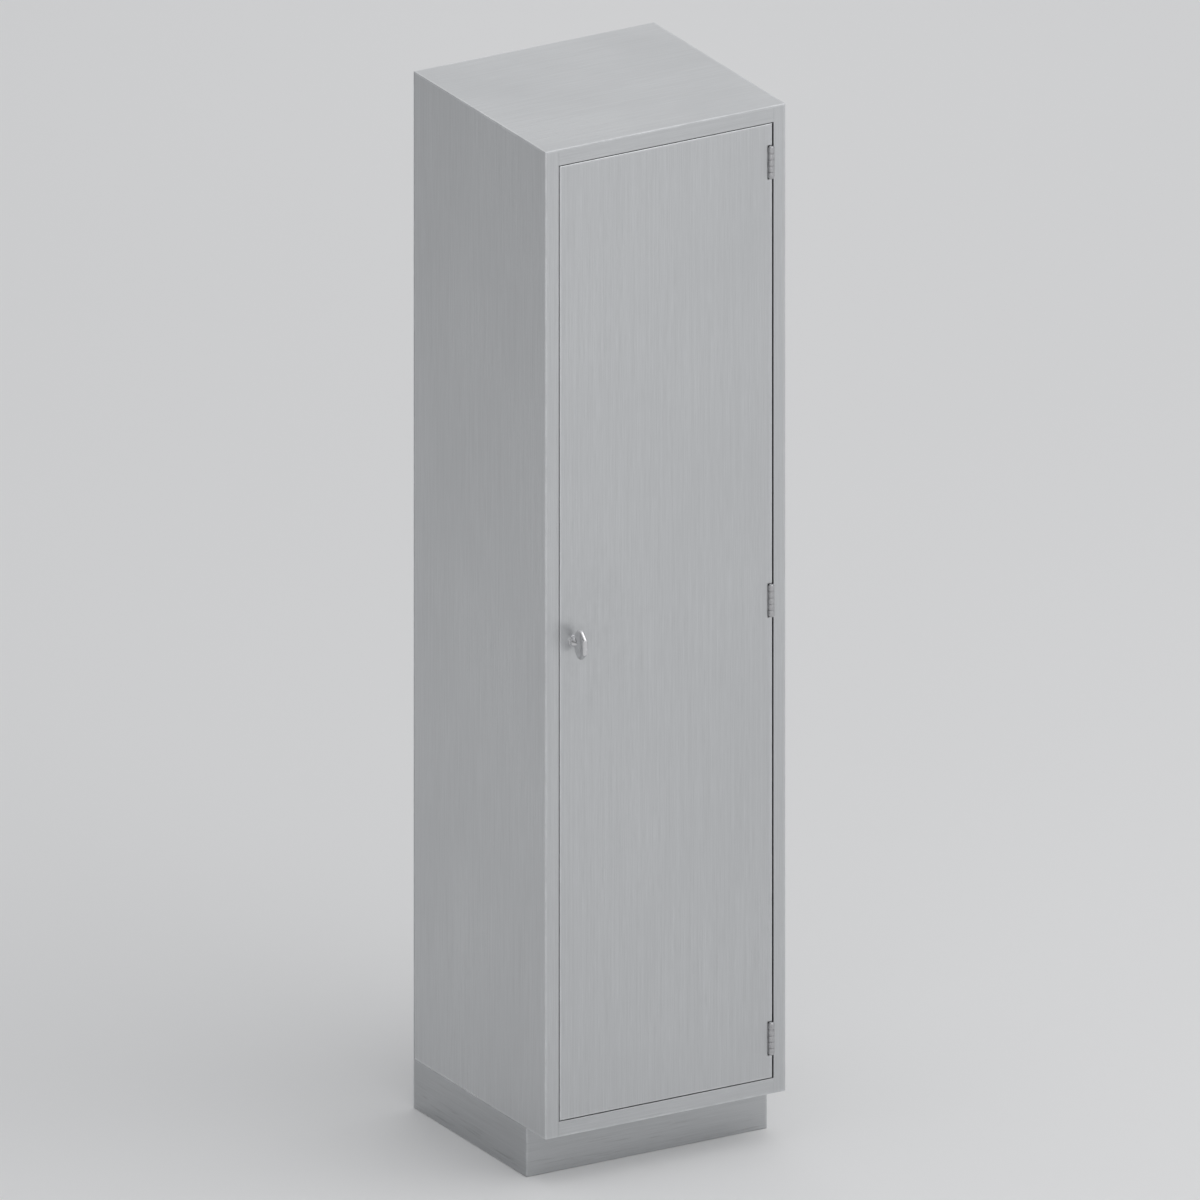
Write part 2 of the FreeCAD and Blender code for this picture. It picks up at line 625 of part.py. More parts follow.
def make_shelf_standards():
    half = STANDARD_WIDTH / 2
    for side, word in ((-1, "left"), (1, "right")):
        wall = side * (RIGHT - CASE_SHEET)
        face = wall - side * STANDARD_DEPTH
        for depth, end in zip(STANDARD_DEPTHS, ("front", "rear")):
            path = [
                (wall, depth - half, 0),
                (face, depth - half, FOLD_RADIUS),
                (face, depth + half, FOLD_RADIUS),
                (wall, depth + half, 0),
            ]
            if side < 0:
                standard = folded_upright(path, CASE_SHEET, STANDARD_BOTTOM, STANDARD_TOP)
            else:
                standard = folded_upright(path[::-1], CASE_SHEET, STANDARD_BOTTOM, STANDARD_TOP)
            slots = []
            for index in range(SLOT_COUNT):
                z = slot_height(index)
                slots.append(
                    block(
                        min(face, wall),
                        max(face, wall),
                        depth - SLOT_WIDTH / 2,
                        depth + SLOT_WIDTH / 2,
                        z - SLOT_HEIGHT / 2,
                        z + SLOT_HEIGHT / 2,
                    )
                )
            save(f"shelf_standard_{word}_{end}", standard.cut(Part.makeCompound(slots)))


def shelf_clip(side, depth, z):
    """An angle clip: a plate on the standard, a ledge under the shelf and a tab in the slot."""
    face = side * (RIGHT - CASE_SHEET - STANDARD_DEPTH)
    top = z + CLIP_HEIGHT / 2
    half = CLIP_WIDTH / 2
    tab_half = SLOT_WIDTH / 2 - CLIP_TAB_GAP
    tab_reach = face + side * (CASE_SHEET + CLIP_SHEET)
    ledge_end = face - side * CLIP_LEDGE
    plate_end = face - side * CLIP_SHEET
    plate = block(
        min(face, plate_end), max(face, plate_end), depth - half, depth + half, z - CLIP_HEIGHT / 2, top
    )
    ledge = block(
        min(face, ledge_end), max(face, ledge_end), depth - half, depth + half, top - CLIP_SHEET, top
    )
    tab = block(
        min(face, tab_reach),
        max(face, tab_reach),
        depth - tab_half,
        depth + tab_half,
        z - SLOT_HEIGHT / 2 + CLIP_TAB_GAP,
        z + SLOT_HEIGHT / 2 - CLIP_TAB_GAP,
    )
    return joined(plate, ledge, tab)


def make_shelves():
    half = RIGHT - CASE_SHEET - STANDARD_DEPTH - SHELF_SIDE_GAP
    back = BACK_INSIDE - CASE_SHEET - SHELF_REAR_GAP
    clips = []
    for number, slot in enumerate(shelf_slots(), 1):
        z = slot_height(slot)
        bottom = z + CLIP_HEIGHT / 2
        top = bottom + SHELF_HEIGHT
        outer = block(-half, half, SHELF_FRONT, back, bottom, top)
        outer = rounded_rim(outer, 2, top, FOLD_RADIUS)
        inner = block(
            CASE_SHEET - half,
            half - CASE_SHEET,
            SHELF_FRONT + CASE_SHEET,
            back - CASE_SHEET,
            bottom,
            top - CASE_SHEET,
        )
        inner = rounded_rim(inner, 2, top - CASE_SHEET, FOLD_RADIUS - CASE_SHEET)
        hems = []
        for depth0, depth1 in ((SHELF_FRONT, SHELF_FRONT + SHELF_HEM), (back - SHELF_HEM, back)):
            hems.append(block(-half, half, depth0, depth1, bottom, bottom + CASE_SHEET))
        save(f"shelf_{number}", joined(outer.cut(inner), *hems))
        for side in (-1, 1):
            for depth in STANDARD_DEPTHS:
                clips.append(shelf_clip(side, depth, z))
    save("shelf_clips", clips)


# Hinges
def knuckle_spans(z):
    """Bottom and top of each knuckle of a hinge centred at z, lowest first."""
    length = HINGE_HEIGHT / KNUCKLES
    low = z - HINGE_HEIGHT / 2
    return [(low + length * index, low + length * (index + 1)) for index in range(KNUCKLES)]


def hinge_leaf(z, plate, first, bore_radius):
    """A leaf with every second knuckle, cleared around the other leaf's knuckles."""
    spans = knuckle_spans(z)
    own = spans[first::2]
    other = spans[1 - first :: 2]
    gap = KNUCKLE_GAP / 2
    barrels = []
    for low, high in own:
        low = low if low == spans[0][0] else low + gap
        high = high if high == spans[-1][1] else high - gap
        barrels.append(upright(BARREL_RADIUS, HINGE_X, HINGE_DEPTH, low, high))
    leaf = joined(plate, *barrels)
    for low, high in other:
        room = upright(BARREL_RADIUS + KNUCKLE_CLEARANCE, HINGE_X, HINGE_DEPTH, low - gap, high + gap)
        leaf = leaf.cut(room)
    low = spans[0][0]
    high = spans[-1][1]
    return leaf.cut(upright(bore_radius, HINGE_X, HINGE_DEPTH, low, high))


def frame_screws():
    screws = []
    for z in HINGE_HEIGHTS:
        for depth in FRAME_SCREW_DEPTHS:
            for rise in (-HINGE_SCREW_SPREAD, HINGE_SCREW_SPREAD):
                length = LEAF_THICKNESS + CASE_SHEET + SCREW_TAIL
                screws.append(countersunk_x(depth, z + rise, OPENING_RIGHT - LEAF_THICKNESS, length))
    return screws


def door_hinge_screws():
    screws = []
    for z in HINGE_HEIGHTS:
        for inset in DOOR_SCREW_INSETS:
            for rise in (-HINGE_SCREW_SPREAD, HINGE_SCREW_SPREAD):
                screws.append(
                    round_head_screw(HINGE_X - inset, z + rise, DOOR_SHEET, LEAF_BACK + CHANNEL_SHEET)
                )
    return screws


def hinge_pin(z):
    """A pin with a crowned cap at each end."""
    low = z - HINGE_HEIGHT / 2
    high = z + HINGE_HEIGHT / 2
    pin = upright(PIN_RADIUS, HINGE_X, HINGE_DEPTH, low, high)
    caps = []
    for end, way in ((high, 1), (low, -1)):
        cap = Part.makeCone(
            PIN_CAP_RADIUS,
            PIN_CAP_RADIUS - PIN_CAP_CROWN,
            PIN_CAP_HEIGHT,
            point(HINGE_X, HINGE_DEPTH, end),
            Vector(0, 0, way),
        )
        caps.append(cap)
    return joined(pin, *caps)


def make_hinges():
    half = HINGE_HEIGHT / 2
    frame_holes = frame_screws()
    door_holes = door_hinge_screws()
    for name, z in zip(HINGE_NAMES, HINGE_HEIGHTS):
        frame_plate = block(
            OPENING_RIGHT - LEAF_THICKNESS, OPENING_RIGHT, HINGE_DEPTH, FRAME_LEAF_DEPTH, z - half, z + half
        )
        frame_leaf = hinge_leaf(z, frame_plate, 0, PIN_RADIUS)
        save(f"{name}_hinge_frame_leaf", frame_leaf.cut(Part.makeCompound(frame_holes)))
        door_plate = block(
            HINGE_X - DOOR_LEAF_WIDTH, HINGE_X, DOOR_SHEET, LEAF_BACK, z - half, z + half
        )
        door_leaf = hinge_leaf(z, door_plate, 1, PIN_RADIUS + RUNNING_CLEARANCE)
        save(f"{name}_hinge_door_leaf", door_leaf.cut(Part.makeCompound(door_holes)))
    save("hinge_pins", [hinge_pin(z) for z in HINGE_HEIGHTS])
    save("hinge_frame_screws", frame_holes)
    save("hinge_door_screws", door_holes)


# Door
def hinge_notches():
    """Room in the door's hinge edge for the barrels and their caps."""
    notches = []
    left = HINGE_X - NOTCH_REACH
    right = DOOR_RIGHT + NOTCH_REACH
    half = HINGE_HEIGHT / 2 + PIN_CAP_HEIGHT + NOTCH_CLEARANCE
    for z in HINGE_HEIGHTS:
        notches.append(
            block(left, right, -NOTCH_REACH, HINGE_DEPTH + NOTCH_REACH, z - half, z + half)
        )
    return Part.makeCompound(notches)


def make_door():
    pan = block(DOOR_LEFT, DOOR_RIGHT, 0, DOOR_INSIDE, DOOR_BOTTOM, DOOR_TOP)
    pan = rounded_rim(pan, 1, FRONT_Y, DOOR_EDGE_RADIUS)
    hollow = block(
        DOOR_LEFT + DOOR_SHEET,
        DOOR_RIGHT - DOOR_SHEET,
        DOOR_SHEET,
        DOOR_INSIDE,
        DOOR_BOTTOM + DOOR_SHEET,
        DOOR_TOP - DOOR_SHEET,
    )
    hollow = rounded_rim(hollow, 1, FRONT_Y + DOOR_SHEET, DOOR_EDGE_RADIUS - DOOR_SHEET)
    bush_room = fore_aft(BUSH_RADIUS, HANDLE_X, HANDLE_Z, 0, DOOR_THICKNESS)
    notches = hinge_notches()
    save("door_outer_pan", pan.cut(hollow).cut(bush_room).cut(notches))

    screws = latch_screws() + guide_screws()
    sheet = block(DOOR_LEFT, DOOR_RIGHT, DOOR_INSIDE, DOOR_THICKNESS, DOOR_BOTTOM, DOOR_TOP)
    rim_low = DOOR_INSIDE - INNER_PAN_FLANGE
    rim = block(
        DOOR_LEFT + DOOR_SHEET,
        DOOR_RIGHT - DOOR_SHEET,
        rim_low,
        DOOR_INSIDE,
        DOOR_BOTTOM + DOOR_SHEET,
        DOOR_TOP - DOOR_SHEET,
    )
    rim_hollow = block(
        DOOR_LEFT + 2 * DOOR_SHEET,
        DOOR_RIGHT - 2 * DOOR_SHEET,
        rim_low,
        DOOR_INSIDE,
        DOOR_BOTTOM + 2 * DOOR_SHEET,
        DOOR_TOP - 2 * DOOR_SHEET,
    )
    inner = joined(sheet, rim.cut(rim_hollow)).cut(bush_room).cut(notches)
    save("door_inner_pan", inner.cut(Part.makeCompound(screws)))

    channel_right = HINGE_X - NOTCH_REACH - CHANNEL_NOTCH_GAP
    channel_left = HINGE_X - DOOR_LEAF_WIDTH - CHANNEL_OVERHANG
    channel_path = [
        (channel_left, DOOR_INSIDE, 0),
        (channel_left, LEAF_BACK, FOLD_RADIUS),
        (channel_right, LEAF_BACK, FOLD_RADIUS),
        (channel_right, DOOR_INSIDE, 0),
    ]
    channel_low = DOOR_BOTTOM + CORE_MARGIN
    channel_high = DOOR_TOP - CORE_MARGIN
    channel = folded_upright(channel_path, CHANNEL_SHEET, channel_low, channel_high)
    save("door_hinge_channel", channel.cut(Part.makeCompound(door_hinge_screws())))

    core_right = channel_left - CORNER_RELIEF
    core = block(
        DOOR_LEFT + CORE_MARGIN, core_right, DOOR_SHEET, DOOR_INSIDE, channel_low, channel_high
    )
    core = core.cut(bush_room).cut(Part.makeCompound(screws))
    save("door_core", core)


def make_door_bumpers():
    x = OPENING_LEFT + LATCH_STOP_LIP / 2
    bumpers = []
    for z in (DOOR_BOTTOM + BUMPER_END, CASE_MIDDLE, DOOR_TOP - BUMPER_END):
        bumpers.append(fore_aft(BUMPER_RADIUS, x, z, DOOR_THICKNESS + BUMPER_GAP, STOP_DEPTH))
    save("door_bumpers", bumpers)


# Turn handle
def make_rose_and_bush():
    base = fore_aft(ROSE_RADIUS, HANDLE_X, HANDLE_Z, -ROSE_BASE, 0)
    base = rounded_rim(base, 1, FRONT_Y - ROSE_BASE, ROSE_ROUNDING)
    neck = fore_aft(ROSE_NECK_RADIUS, HANDLE_X, HANDLE_Z, -ROSE_PROJECTION, -ROSE_BASE)
    neck = rounded_rim(neck, 1, FRONT_Y - ROSE_PROJECTION, ROSE_ROUNDING)
    shaft_room = SPINDLE_RADIUS + FACE_CLEARANCE
    rose = joined(base, neck)
    rose = rose.cut(fore_aft(BUSH_RADIUS, HANDLE_X, HANDLE_Z, -ROSE_BASE, 0))
    rose = rose.cut(fore_aft(shaft_room, HANDLE_X, HANDLE_Z, -ROSE_PROJECTION, -ROSE_BASE))
    bush = fore_aft(BUSH_RADIUS, HANDLE_X, HANDLE_Z, -ROSE_BASE, LATCH_BASE_BACK)
    bore_radius = SPINDLE_RADIUS + RUNNING_CLEARANCE
    bush = bush.cut(fore_aft(bore_radius, HANDLE_X, HANDLE_Z, -ROSE_BASE, LATCH_BASE_BACK))
    save("handle_rose", rose)
    save("handle_bush", bush)


def make_turn_handle():
    """A thumb turn: an upright plate that narrows to its front edge, on a round hub that tapers into it."""
    half = GRIP_HEIGHT / 2
    upper = [
        (-GRIP_BACK, half - GRIP_BACK_DROP, GRIP_CORNER_ROUNDING),
        (-GRIP_SHOULDER_BACK, half, GRIP_SHOULDER_ROUNDING),
        (-GRIP_SHOULDER_FRONT, half, GRIP_SHOULDER_ROUNDING),
        (-HANDLE_PROJECTION, half - GRIP_FRONT_DROP, GRIP_CORNER_ROUNDING),
    ]
    lower = [(depth, -rise, radius) for depth, rise, radius in upper[::-1]]
    side_x = HANDLE_X - GRIP_THICKNESS / 2
    corners = [(point(side_x, depth, HANDLE_Z + rise), radius) for depth, rise, radius in upper + lower]
    grip = rounded_face(corners).extrude(Vector(GRIP_THICKNESS, 0, 0))
    grip = rounded_rim(grip, 0, side_x, GRIP_RIM_ROUNDING)
    grip = rounded_rim(grip, 0, side_x + GRIP_THICKNESS, GRIP_RIM_ROUNDING)
    hub = fore_aft(HUB_RADIUS, HANDLE_X, HANDLE_Z, -HUB_SHOULDER, -HUB_BACK)
    shoulder = point(HANDLE_X, -HUB_SHOULDER, HANDLE_Z)
    taper = Part.makeCone(HUB_RADIUS, HUB_TIP_RADIUS, HUB_TAPER, shoulder, Vector(0, -1, 0))
    socket = fore_aft(SPINDLE_RADIUS, HANDLE_X, HANDLE_Z, -SPINDLE_GRIP_END, -HUB_BACK)
    save("turn_handle", joined(joined(hub, taper), grip).cut(socket))
    save("spindle", fore_aft(SPINDLE_RADIUS, HANDLE_X, HANDLE_Z, -SPINDLE_GRIP_END, NUT_BACK))


# Latch
def involute(angle):
    return math.tan(angle) - angle


def pinion_tooth_side():
    """One flank as (radius, angle from the tooth's middle), from root to tip."""
    base_radius = PITCH_RADIUS * math.cos(PRESSURE_ANGLE)
    half_tooth = math.pi / (2 * GEAR_TEETH) - BACKLASH / (4 * PITCH_RADIUS)
    tip_radius = PITCH_RADIUS + ADDENDUM
    widest = half_tooth + involute(PRESSURE_ANGLE)
    flank = [(PITCH_RADIUS - DEDENDUM, widest)]
    for step in range(FLANK_STEPS + 1):
        radius = base_radius + (tip_radius - base_radius) * step / FLANK_STEPS
        angle = math.acos(min(1.0, base_radius / radius))
        flank.append((radius, widest - involute(angle)))
    return flank


def make_pinion():
    flank = pinion_tooth_side()
    outline = []
    for tooth in range(GEAR_TEETH):
        middle = 2 * math.pi * tooth / GEAR_TEETH
        rising = [(radius, middle - angle) for radius, angle in flank]
        falling = [(radius, middle + angle) for radius, angle in flank[::-1]]
        outline += rising + falling
    corners = []
    for radius, angle in outline:
        x = HANDLE_X + radius * math.cos(angle)
        corners.append((point(x, GEAR_FRONT, HANDLE_Z + radius * math.sin(angle)), 0))
    gear = rounded_face(corners).extrude(Vector(0, GEAR_THICKNESS, 0))
    save("pinion", gear.cut(fore_aft(SPINDLE_RADIUS, HANDLE_X, HANDLE_Z, GEAR_FRONT, GEAR_BACK)))


def make_racks():
    """The right-hand rack, and the same rack turned half round the handle's axis for the left."""
    tip = PITCH_RADIUS - ADDENDUM
    root = PITCH_RADIUS + DEDENDUM
    back = root + RACK_BACK
    half_tooth = RACK_PITCH / 4 - BACKLASH / 4
    half_tip = half_tooth - ADDENDUM * math.tan(PRESSURE_ANGLE)
    half_root = half_tooth + DEDENDUM * math.tan(PRESSURE_ANGLE)
    outline = [(back, -RACK_TAIL), (back, RACK_LEAD), (root, RACK_LEAD)]
    last = math.floor(RACK_LEAD / RACK_PITCH)
    first = -math.floor(RACK_TAIL / RACK_PITCH)
    for index in range(last - 1, first - 1, -1):
        middle = (index + 0.5) * RACK_PITCH
        outline += [
            (root, middle + half_root),
            (tip, middle + half_tip),
            (tip, middle - half_tip),
            (root, middle - half_root),
        ]
    outline.append((root, -RACK_TAIL))
    corners = [(point(HANDLE_X + u, GEAR_FRONT, HANDLE_Z + v), 0) for u, v in outline]
    right = rounded_face(corners).extrude(Vector(0, GEAR_THICKNESS, 0))
    left = right.copy()
    left.rotate(point(HANDLE_X, 0, HANDLE_Z), Vector(0, 1, 0), 180)
    save("top_rack", right)
    save("bottom_rack", left)


def latch_rod(x, z0, z1, tip_up):
    tip_start = z1 - ROD_TIP if tip_up else z0 + ROD_TIP
    tip_way = Vector(0, 0, 1 if tip_up else -1)
    tip = Part.makeCone(
        ROD_RADIUS, ROD_RADIUS - ROD_TIP, ROD_TIP, point(x, ROD_DEPTH, tip_start), tip_way
    )
    shank = upright(ROD_RADIUS, x, ROD_DEPTH, *((z0, tip_start) if tip_up else (tip_start, z1)))
    return joined(shank, tip)


def make_rods():
    top_end = OPENING_TOP - STOP_LIP - ROD_END_GAP
    bottom_end = OPENING_BOTTOM + STOP_LIP + ROD_END_GAP
    save("top_rod", latch_rod(HANDLE_X + ROD_OFFSET, HANDLE_Z + RACK_LEAD, top_end, True))
    save("bottom_rod", latch_rod(HANDLE_X - ROD_OFFSET, bottom_end, HANDLE_Z - RACK_LEAD, False))


def guide_places():
    """Across and up, for two guides on each rod."""
    top_x = HANDLE_X + ROD_OFFSET
    bottom_x = HANDLE_X - ROD_OFFSET
    return [
        (top_x, HANDLE_Z + GUIDE_NEAR),
        (top_x, DOOR_TOP - GUIDE_FAR),
        (bottom_x, HANDLE_Z - GUIDE_NEAR),
        (bottom_x, DOOR_BOTTOM + GUIDE_FAR),
    ]


def guide_screws():
    screws = []
    seat = DOOR_THICKNESS + GUIDE_BASE
    for x, z in guide_places():
        for rise in (-GUIDE_SCREW, GUIDE_SCREW):
            screws.append(round_head_screw(x, z + rise, DOOR_INSIDE - SCREW_TAIL, seat))
    return screws


def make_rod_guides():
    screws = Part.makeCompound(guide_screws())
    guides = []
    for x, z in guide_places():
        base = block(
            x - GUIDE_HALF_WIDTH,
            x + GUIDE_HALF_WIDTH,
            DOOR_THICKNESS,
            DOOR_THICKNESS + GUIDE_BASE,
            z - GUIDE_BASE_HALF_HEIGHT,
            z + GUIDE_BASE_HALF_HEIGHT,
        )
        body = block(
            x - GUIDE_HALF_WIDTH,
            x + GUIDE_HALF_WIDTH,
            DOOR_THICKNESS,
            ROD_DEPTH + ROD_RADIUS + GUIDE_WALL,
            z - GUIDE_HALF_HEIGHT,
            z + GUIDE_HALF_HEIGHT,
        )
        bore = upright(
            ROD_RADIUS + GUIDE_BORE_CLEARANCE, x, ROD_DEPTH, z - GUIDE_HALF_HEIGHT, z + GUIDE_HALF_HEIGHT
        )
        guides.append(joined(base, body).cut(bore).cut(screws))
    save("rod_guides", guides)
    save("rod_guide_screws", guide_screws())


def latch_screws():
    screws = []
    for rise in (-LATCH_EAR_SCREW, LATCH_EAR_SCREW):
        screws.append(
            round_head_screw(HANDLE_X, HANDLE_Z + rise, DOOR_INSIDE - SCREW_TAIL, LATCH_BASE_BACK)
        )
    return screws


def make_latch_case():
    half = LATCH_HALF_WIDTH
    low = HANDLE_Z - LATCH_HALF_HEIGHT
    high = HANDLE_Z + LATCH_HALF_HEIGHT
    path = [
        (HANDLE_X - half, COVER_FRONT, 0),
        (HANDLE_X - half, DOOR_THICKNESS, FOLD_RADIUS),
        (HANDLE_X + half, DOOR_THICKNESS, FOLD_RADIUS),
        (HANDLE_X + half, COVER_FRONT, 0),
    ]
    channel = folded_upright(path, LATCH_SHEET, low, high)
    ear_half = half - FOLD_RADIUS
    ears = block(
        HANDLE_X - ear_half,
        HANDLE_X + ear_half,
        DOOR_THICKNESS,
        LATCH_BASE_BACK,
        low - LATCH_EAR,
        high + LATCH_EAR,
    )
    window_low = HANDLE_Z - CAM_HALF_WIDTH - CAM_WINDOW_GAP
    window_high = HANDLE_Z + CAM_LENGTH + CAM_WINDOW_GAP
    window = block(
        HANDLE_X - half,
        HANDLE_X - half + LATCH_SHEET,
        CAM_FRONT - CAM_WINDOW_GAP,
        CAM_FRONT + CAM_THICKNESS + CAM_WINDOW_GAP,
        window_low,
        window_high,
    )
    bush_room = fore_aft(BUSH_RADIUS, HANDLE_X, HANDLE_Z, DOOR_THICKNESS, LATCH_BASE_BACK)
    case = joined(channel, ears).cut(window).cut(bush_room).cut(Part.makeCompound(latch_screws()))
    save("latch_case", case)
    cover = block(HANDLE_X - half, HANDLE_X + half, COVER_FRONT, COVER_BACK, low, high)
    shaft_room = SPINDLE_RADIUS + FACE_CLEARANCE
    save("latch_cover", cover.cut(fore_aft(shaft_room, HANDLE_X, HANDLE_Z, COVER_FRONT, COVER_BACK)))
    save("latch_screws", latch_screws())


def make_centre_cam():
    """A bar that points up when unlatched and turns left behind the stile's stop lip."""
    outline = [
        (CAM_HALF_WIDTH, -CAM_TAIL),
        (CAM_HALF_WIDTH, CAM_LENGTH),
        (-CAM_HALF_WIDTH, CAM_LENGTH),
        (-CAM_HALF_WIDTH, -CAM_TAIL),
    ]
    corners = [
        (point(HANDLE_X + u, CAM_FRONT, HANDLE_Z + v), CAM_HALF_WIDTH / 2) for u, v in outline
    ]
    bar = rounded_face(corners).extrude(Vector(0, CAM_THICKNESS, 0))
    bore = fore_aft(SPINDLE_RADIUS, HANDLE_X, HANDLE_Z, CAM_FRONT, CAM_FRONT + CAM_THICKNESS)
    save("centre_cam", bar.cut(bore))


def make_spindle_nut():
    corners = []
    for side in range(SPINDLE_NUT_SIDES):
        angle = 2 * math.pi * side / SPINDLE_NUT_SIDES
        x = HANDLE_X + SPINDLE_NUT_RADIUS * math.cos(angle)
        z = HANDLE_Z + SPINDLE_NUT_RADIUS * math.sin(angle)
        corners.append((point(x, NUT_FRONT, z), 0))
    nut = rounded_face(corners).extrude(Vector(0, SPINDLE_NUT_HEIGHT, 0))
    save("spindle_nut", nut.cut(fore_aft(SPINDLE_RADIUS, HANDLE_X, HANDLE_Z, NUT_FRONT, NUT_BACK)))


make_side_panels()
make_rails()
make_top_panel()
make_bottom_panel()
make_access_plugs()
make_back_panel()
make_plinth()
make_gussets_and_levellers()
make_shelf_standards()
make_shelves()
make_hinges()
make_door()
make_door_bumpers()
make_rose_and_bush()
make_turn_handle()
make_pinion()
make_racks()
make_rods()
make_rod_guides()
make_latch_case()
make_centre_cam()
make_spindle_nut()
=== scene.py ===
"""Finishes and finer hardware for a tall stainless steel storage cabinet, around its packed solids.

Metres. X runs left to right as seen from the front, the front faces -Y and Z is up.
"""

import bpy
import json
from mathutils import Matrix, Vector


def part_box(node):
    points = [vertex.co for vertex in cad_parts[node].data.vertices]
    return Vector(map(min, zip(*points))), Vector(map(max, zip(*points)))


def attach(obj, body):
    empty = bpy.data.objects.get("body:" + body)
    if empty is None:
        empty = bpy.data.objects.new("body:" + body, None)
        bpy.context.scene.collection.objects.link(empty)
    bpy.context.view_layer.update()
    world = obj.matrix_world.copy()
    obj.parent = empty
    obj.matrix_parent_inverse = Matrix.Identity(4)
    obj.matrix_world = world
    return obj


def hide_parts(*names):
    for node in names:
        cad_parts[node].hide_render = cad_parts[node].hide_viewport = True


bl_info = {
    "name": "Stainless Steel Cabinet",
    "version": (1, 0, 0),
    "blender": (4, 5, 0),
    "location": "View3D > Sidebar > Cabinet",
    "description": "Brushed finishes, hinges, turn handle and latch of a tall stainless steel cabinet",
    "category": "Object",
}

import json
import math

import bmesh
import bpy
import numpy as np
from bpy.props import FloatProperty, FloatVectorProperty, IntProperty, PointerProperty
from mathutils import Matrix, Vector

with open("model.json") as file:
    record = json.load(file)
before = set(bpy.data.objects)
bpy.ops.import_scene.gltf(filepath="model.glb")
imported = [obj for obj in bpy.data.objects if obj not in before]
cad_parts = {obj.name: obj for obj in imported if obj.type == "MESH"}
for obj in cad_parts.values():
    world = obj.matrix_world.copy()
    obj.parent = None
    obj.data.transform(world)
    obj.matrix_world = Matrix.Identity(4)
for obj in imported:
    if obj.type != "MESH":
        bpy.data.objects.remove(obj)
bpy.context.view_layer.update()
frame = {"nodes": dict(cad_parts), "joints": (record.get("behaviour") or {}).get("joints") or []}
JOINTS = {joint["name"]: joint for joint in frame["joints"]}
HINGE_AXIS = np.array(JOINTS["door_swing"]["pos_m"])
HANDLE_AXIS = np.array(JOINTS["handle_turn"]["pos_m"])
HINGE_ENDS = ("top", "middle", "bottom")
CORNERS = ("front_left", "front_right", "rear_left", "rear_right")
CASE = ("left_side_panel", "right_side_panel", "back_panel", "top_panel", "header_rail", "sill_rail")
PLINTH = ("toe_kick", "plinth_rear", "plinth_left", "plinth_right")
DOOR = ("door_outer_pan",)
RIGHT_ANGLE = math.pi / 2
FULL_TURN = 2.0 * math.pi
WELD_DISTANCE = 1e-7
NEARLY_ZERO = 1e-6
SMOOTH_ANGLE = math.radians(38.0)
# Where a turned shape's three directions point, for each axis that it is turned about
AXES = {axis: np.roll(np.eye(3), turns, axis=1) for turns, axis in enumerate("xyz", start=1)}

# Small sizes of the hardware
SMALL_EDGE = 0.0006
LEAF_OFFSET = 0.0025
TAB_LAP = 0.003
LEAF_SCREW_SINK = 0.0006
LEAF_SCREW_SHANK = 0.002
LEAF_SCREW_REACH = 0.0082
HUB_EDGE = 0.0005
NUT_BORE = 0.004
ROD_BEVEL = 0.0003
EAR_LAP = 0.001
COLLAR_RADIUS = 0.008
COLLAR_TOP = 0.0072
COLLAR_HEIGHT = 0.002
PLUG_DOME = 0.0009
PLUG_EDGE = 0.0012

# Shares and powers of turned shapes, a screw head's cross in shares of the head's radius
CROSS_HALF_WIDTH = 0.13
CROSS_HALF_LENGTH = 0.56
CROSS_SLOPE = 0.07
CROSS_DEPTH = 0.35
HEAD_CURVE = 0.92
SCREW_SKIRT = 0.4
THREAD_ROWS = 8
THREAD_FADE = 2.0
PLUG_CROWN = 0.97
BUMPER_DOME = 0.7
BUMPER_FULLNESS = 0.8
PIN_FULLNESS = 0.85
NUT_CORNER = 1.12

# Brushed sheet, with waves per metre
GRAIN = {"across": 0, "along": 1, "upright": 2}
STRETCH = 0.6
GRAIN_CONTRAST = 0.115
LINE_SHARE = 0.65
STREAK_WAVES = 330.0
STREAK_WAVES_ALONG = 3.0
CLOUD_WAVES = (3.2, 3.2, 2.1)
SMUDGE_WAVES = (46.0, 46.0, 38.0)
SMUDGE_REACH = (0.02, 0.24)
SCUFF_WAVES = (9.0, 9.0, 160.0)
SCUFF_HEIGHT = 0.09
# Patches of the edge wear, whose lighter tone is a painted highlight along the edges
RUB_AND_HIGHLIGHT_WAVES = (24.0, 24.0, 24.0)
# Marks on it: strength, tone against the sheet's colour and change of roughness
# rub: edges polished glossier by wear, with a lighter tone there that is a painted highlight along the
# edges
MARKS = {"smudge": (0.2, 0.86, 0.07), "scuff": (0.5, 0.66, 0.16), "rub": (0.7, 1.3, -0.08)}

# Softboxes: name, place, side in metres and power in watts
SOFTBOXES = (
    ("key_softbox", (4.4, -7.0, 6.0), 12.0, 370.0),
    ("fill_softbox", (-5.0, -8.0, 3.0), 6.0, 110.0),
    ("back_softbox", (3.5, 6.0, 4.0), 5.0, 42.0),
    ("overhead_softbox", (0.8, -0.4, 6.0), 5.0, 36.0),
)
LIGHT_TARGET = Vector((0.0, 0.0, 1.0))
FLOOR_DROP = 0.0005

# Kinds of number that a user may change
ANGLE = {"subtype": "ANGLE", "unit": "ROTATION"}
DISTANCE = {"subtype": "DISTANCE", "unit": "LENGTH"}


def number(name, description, default, **kind):
    """A number that a user may change."""
    return FloatProperty(name=name, description=description, default=default, **kind)


def length(name, description, default):
    """A length that a user may change."""
    return number(name, description, default, min=0.0, precision=5, **DISTANCE)


def tint(name, description, default):
    """A colour that a user may change."""
    return FloatVectorProperty(
        name=name, description=description, default=default, size=3, min=0.0, max=1.0, subtype="COLOR"
    )


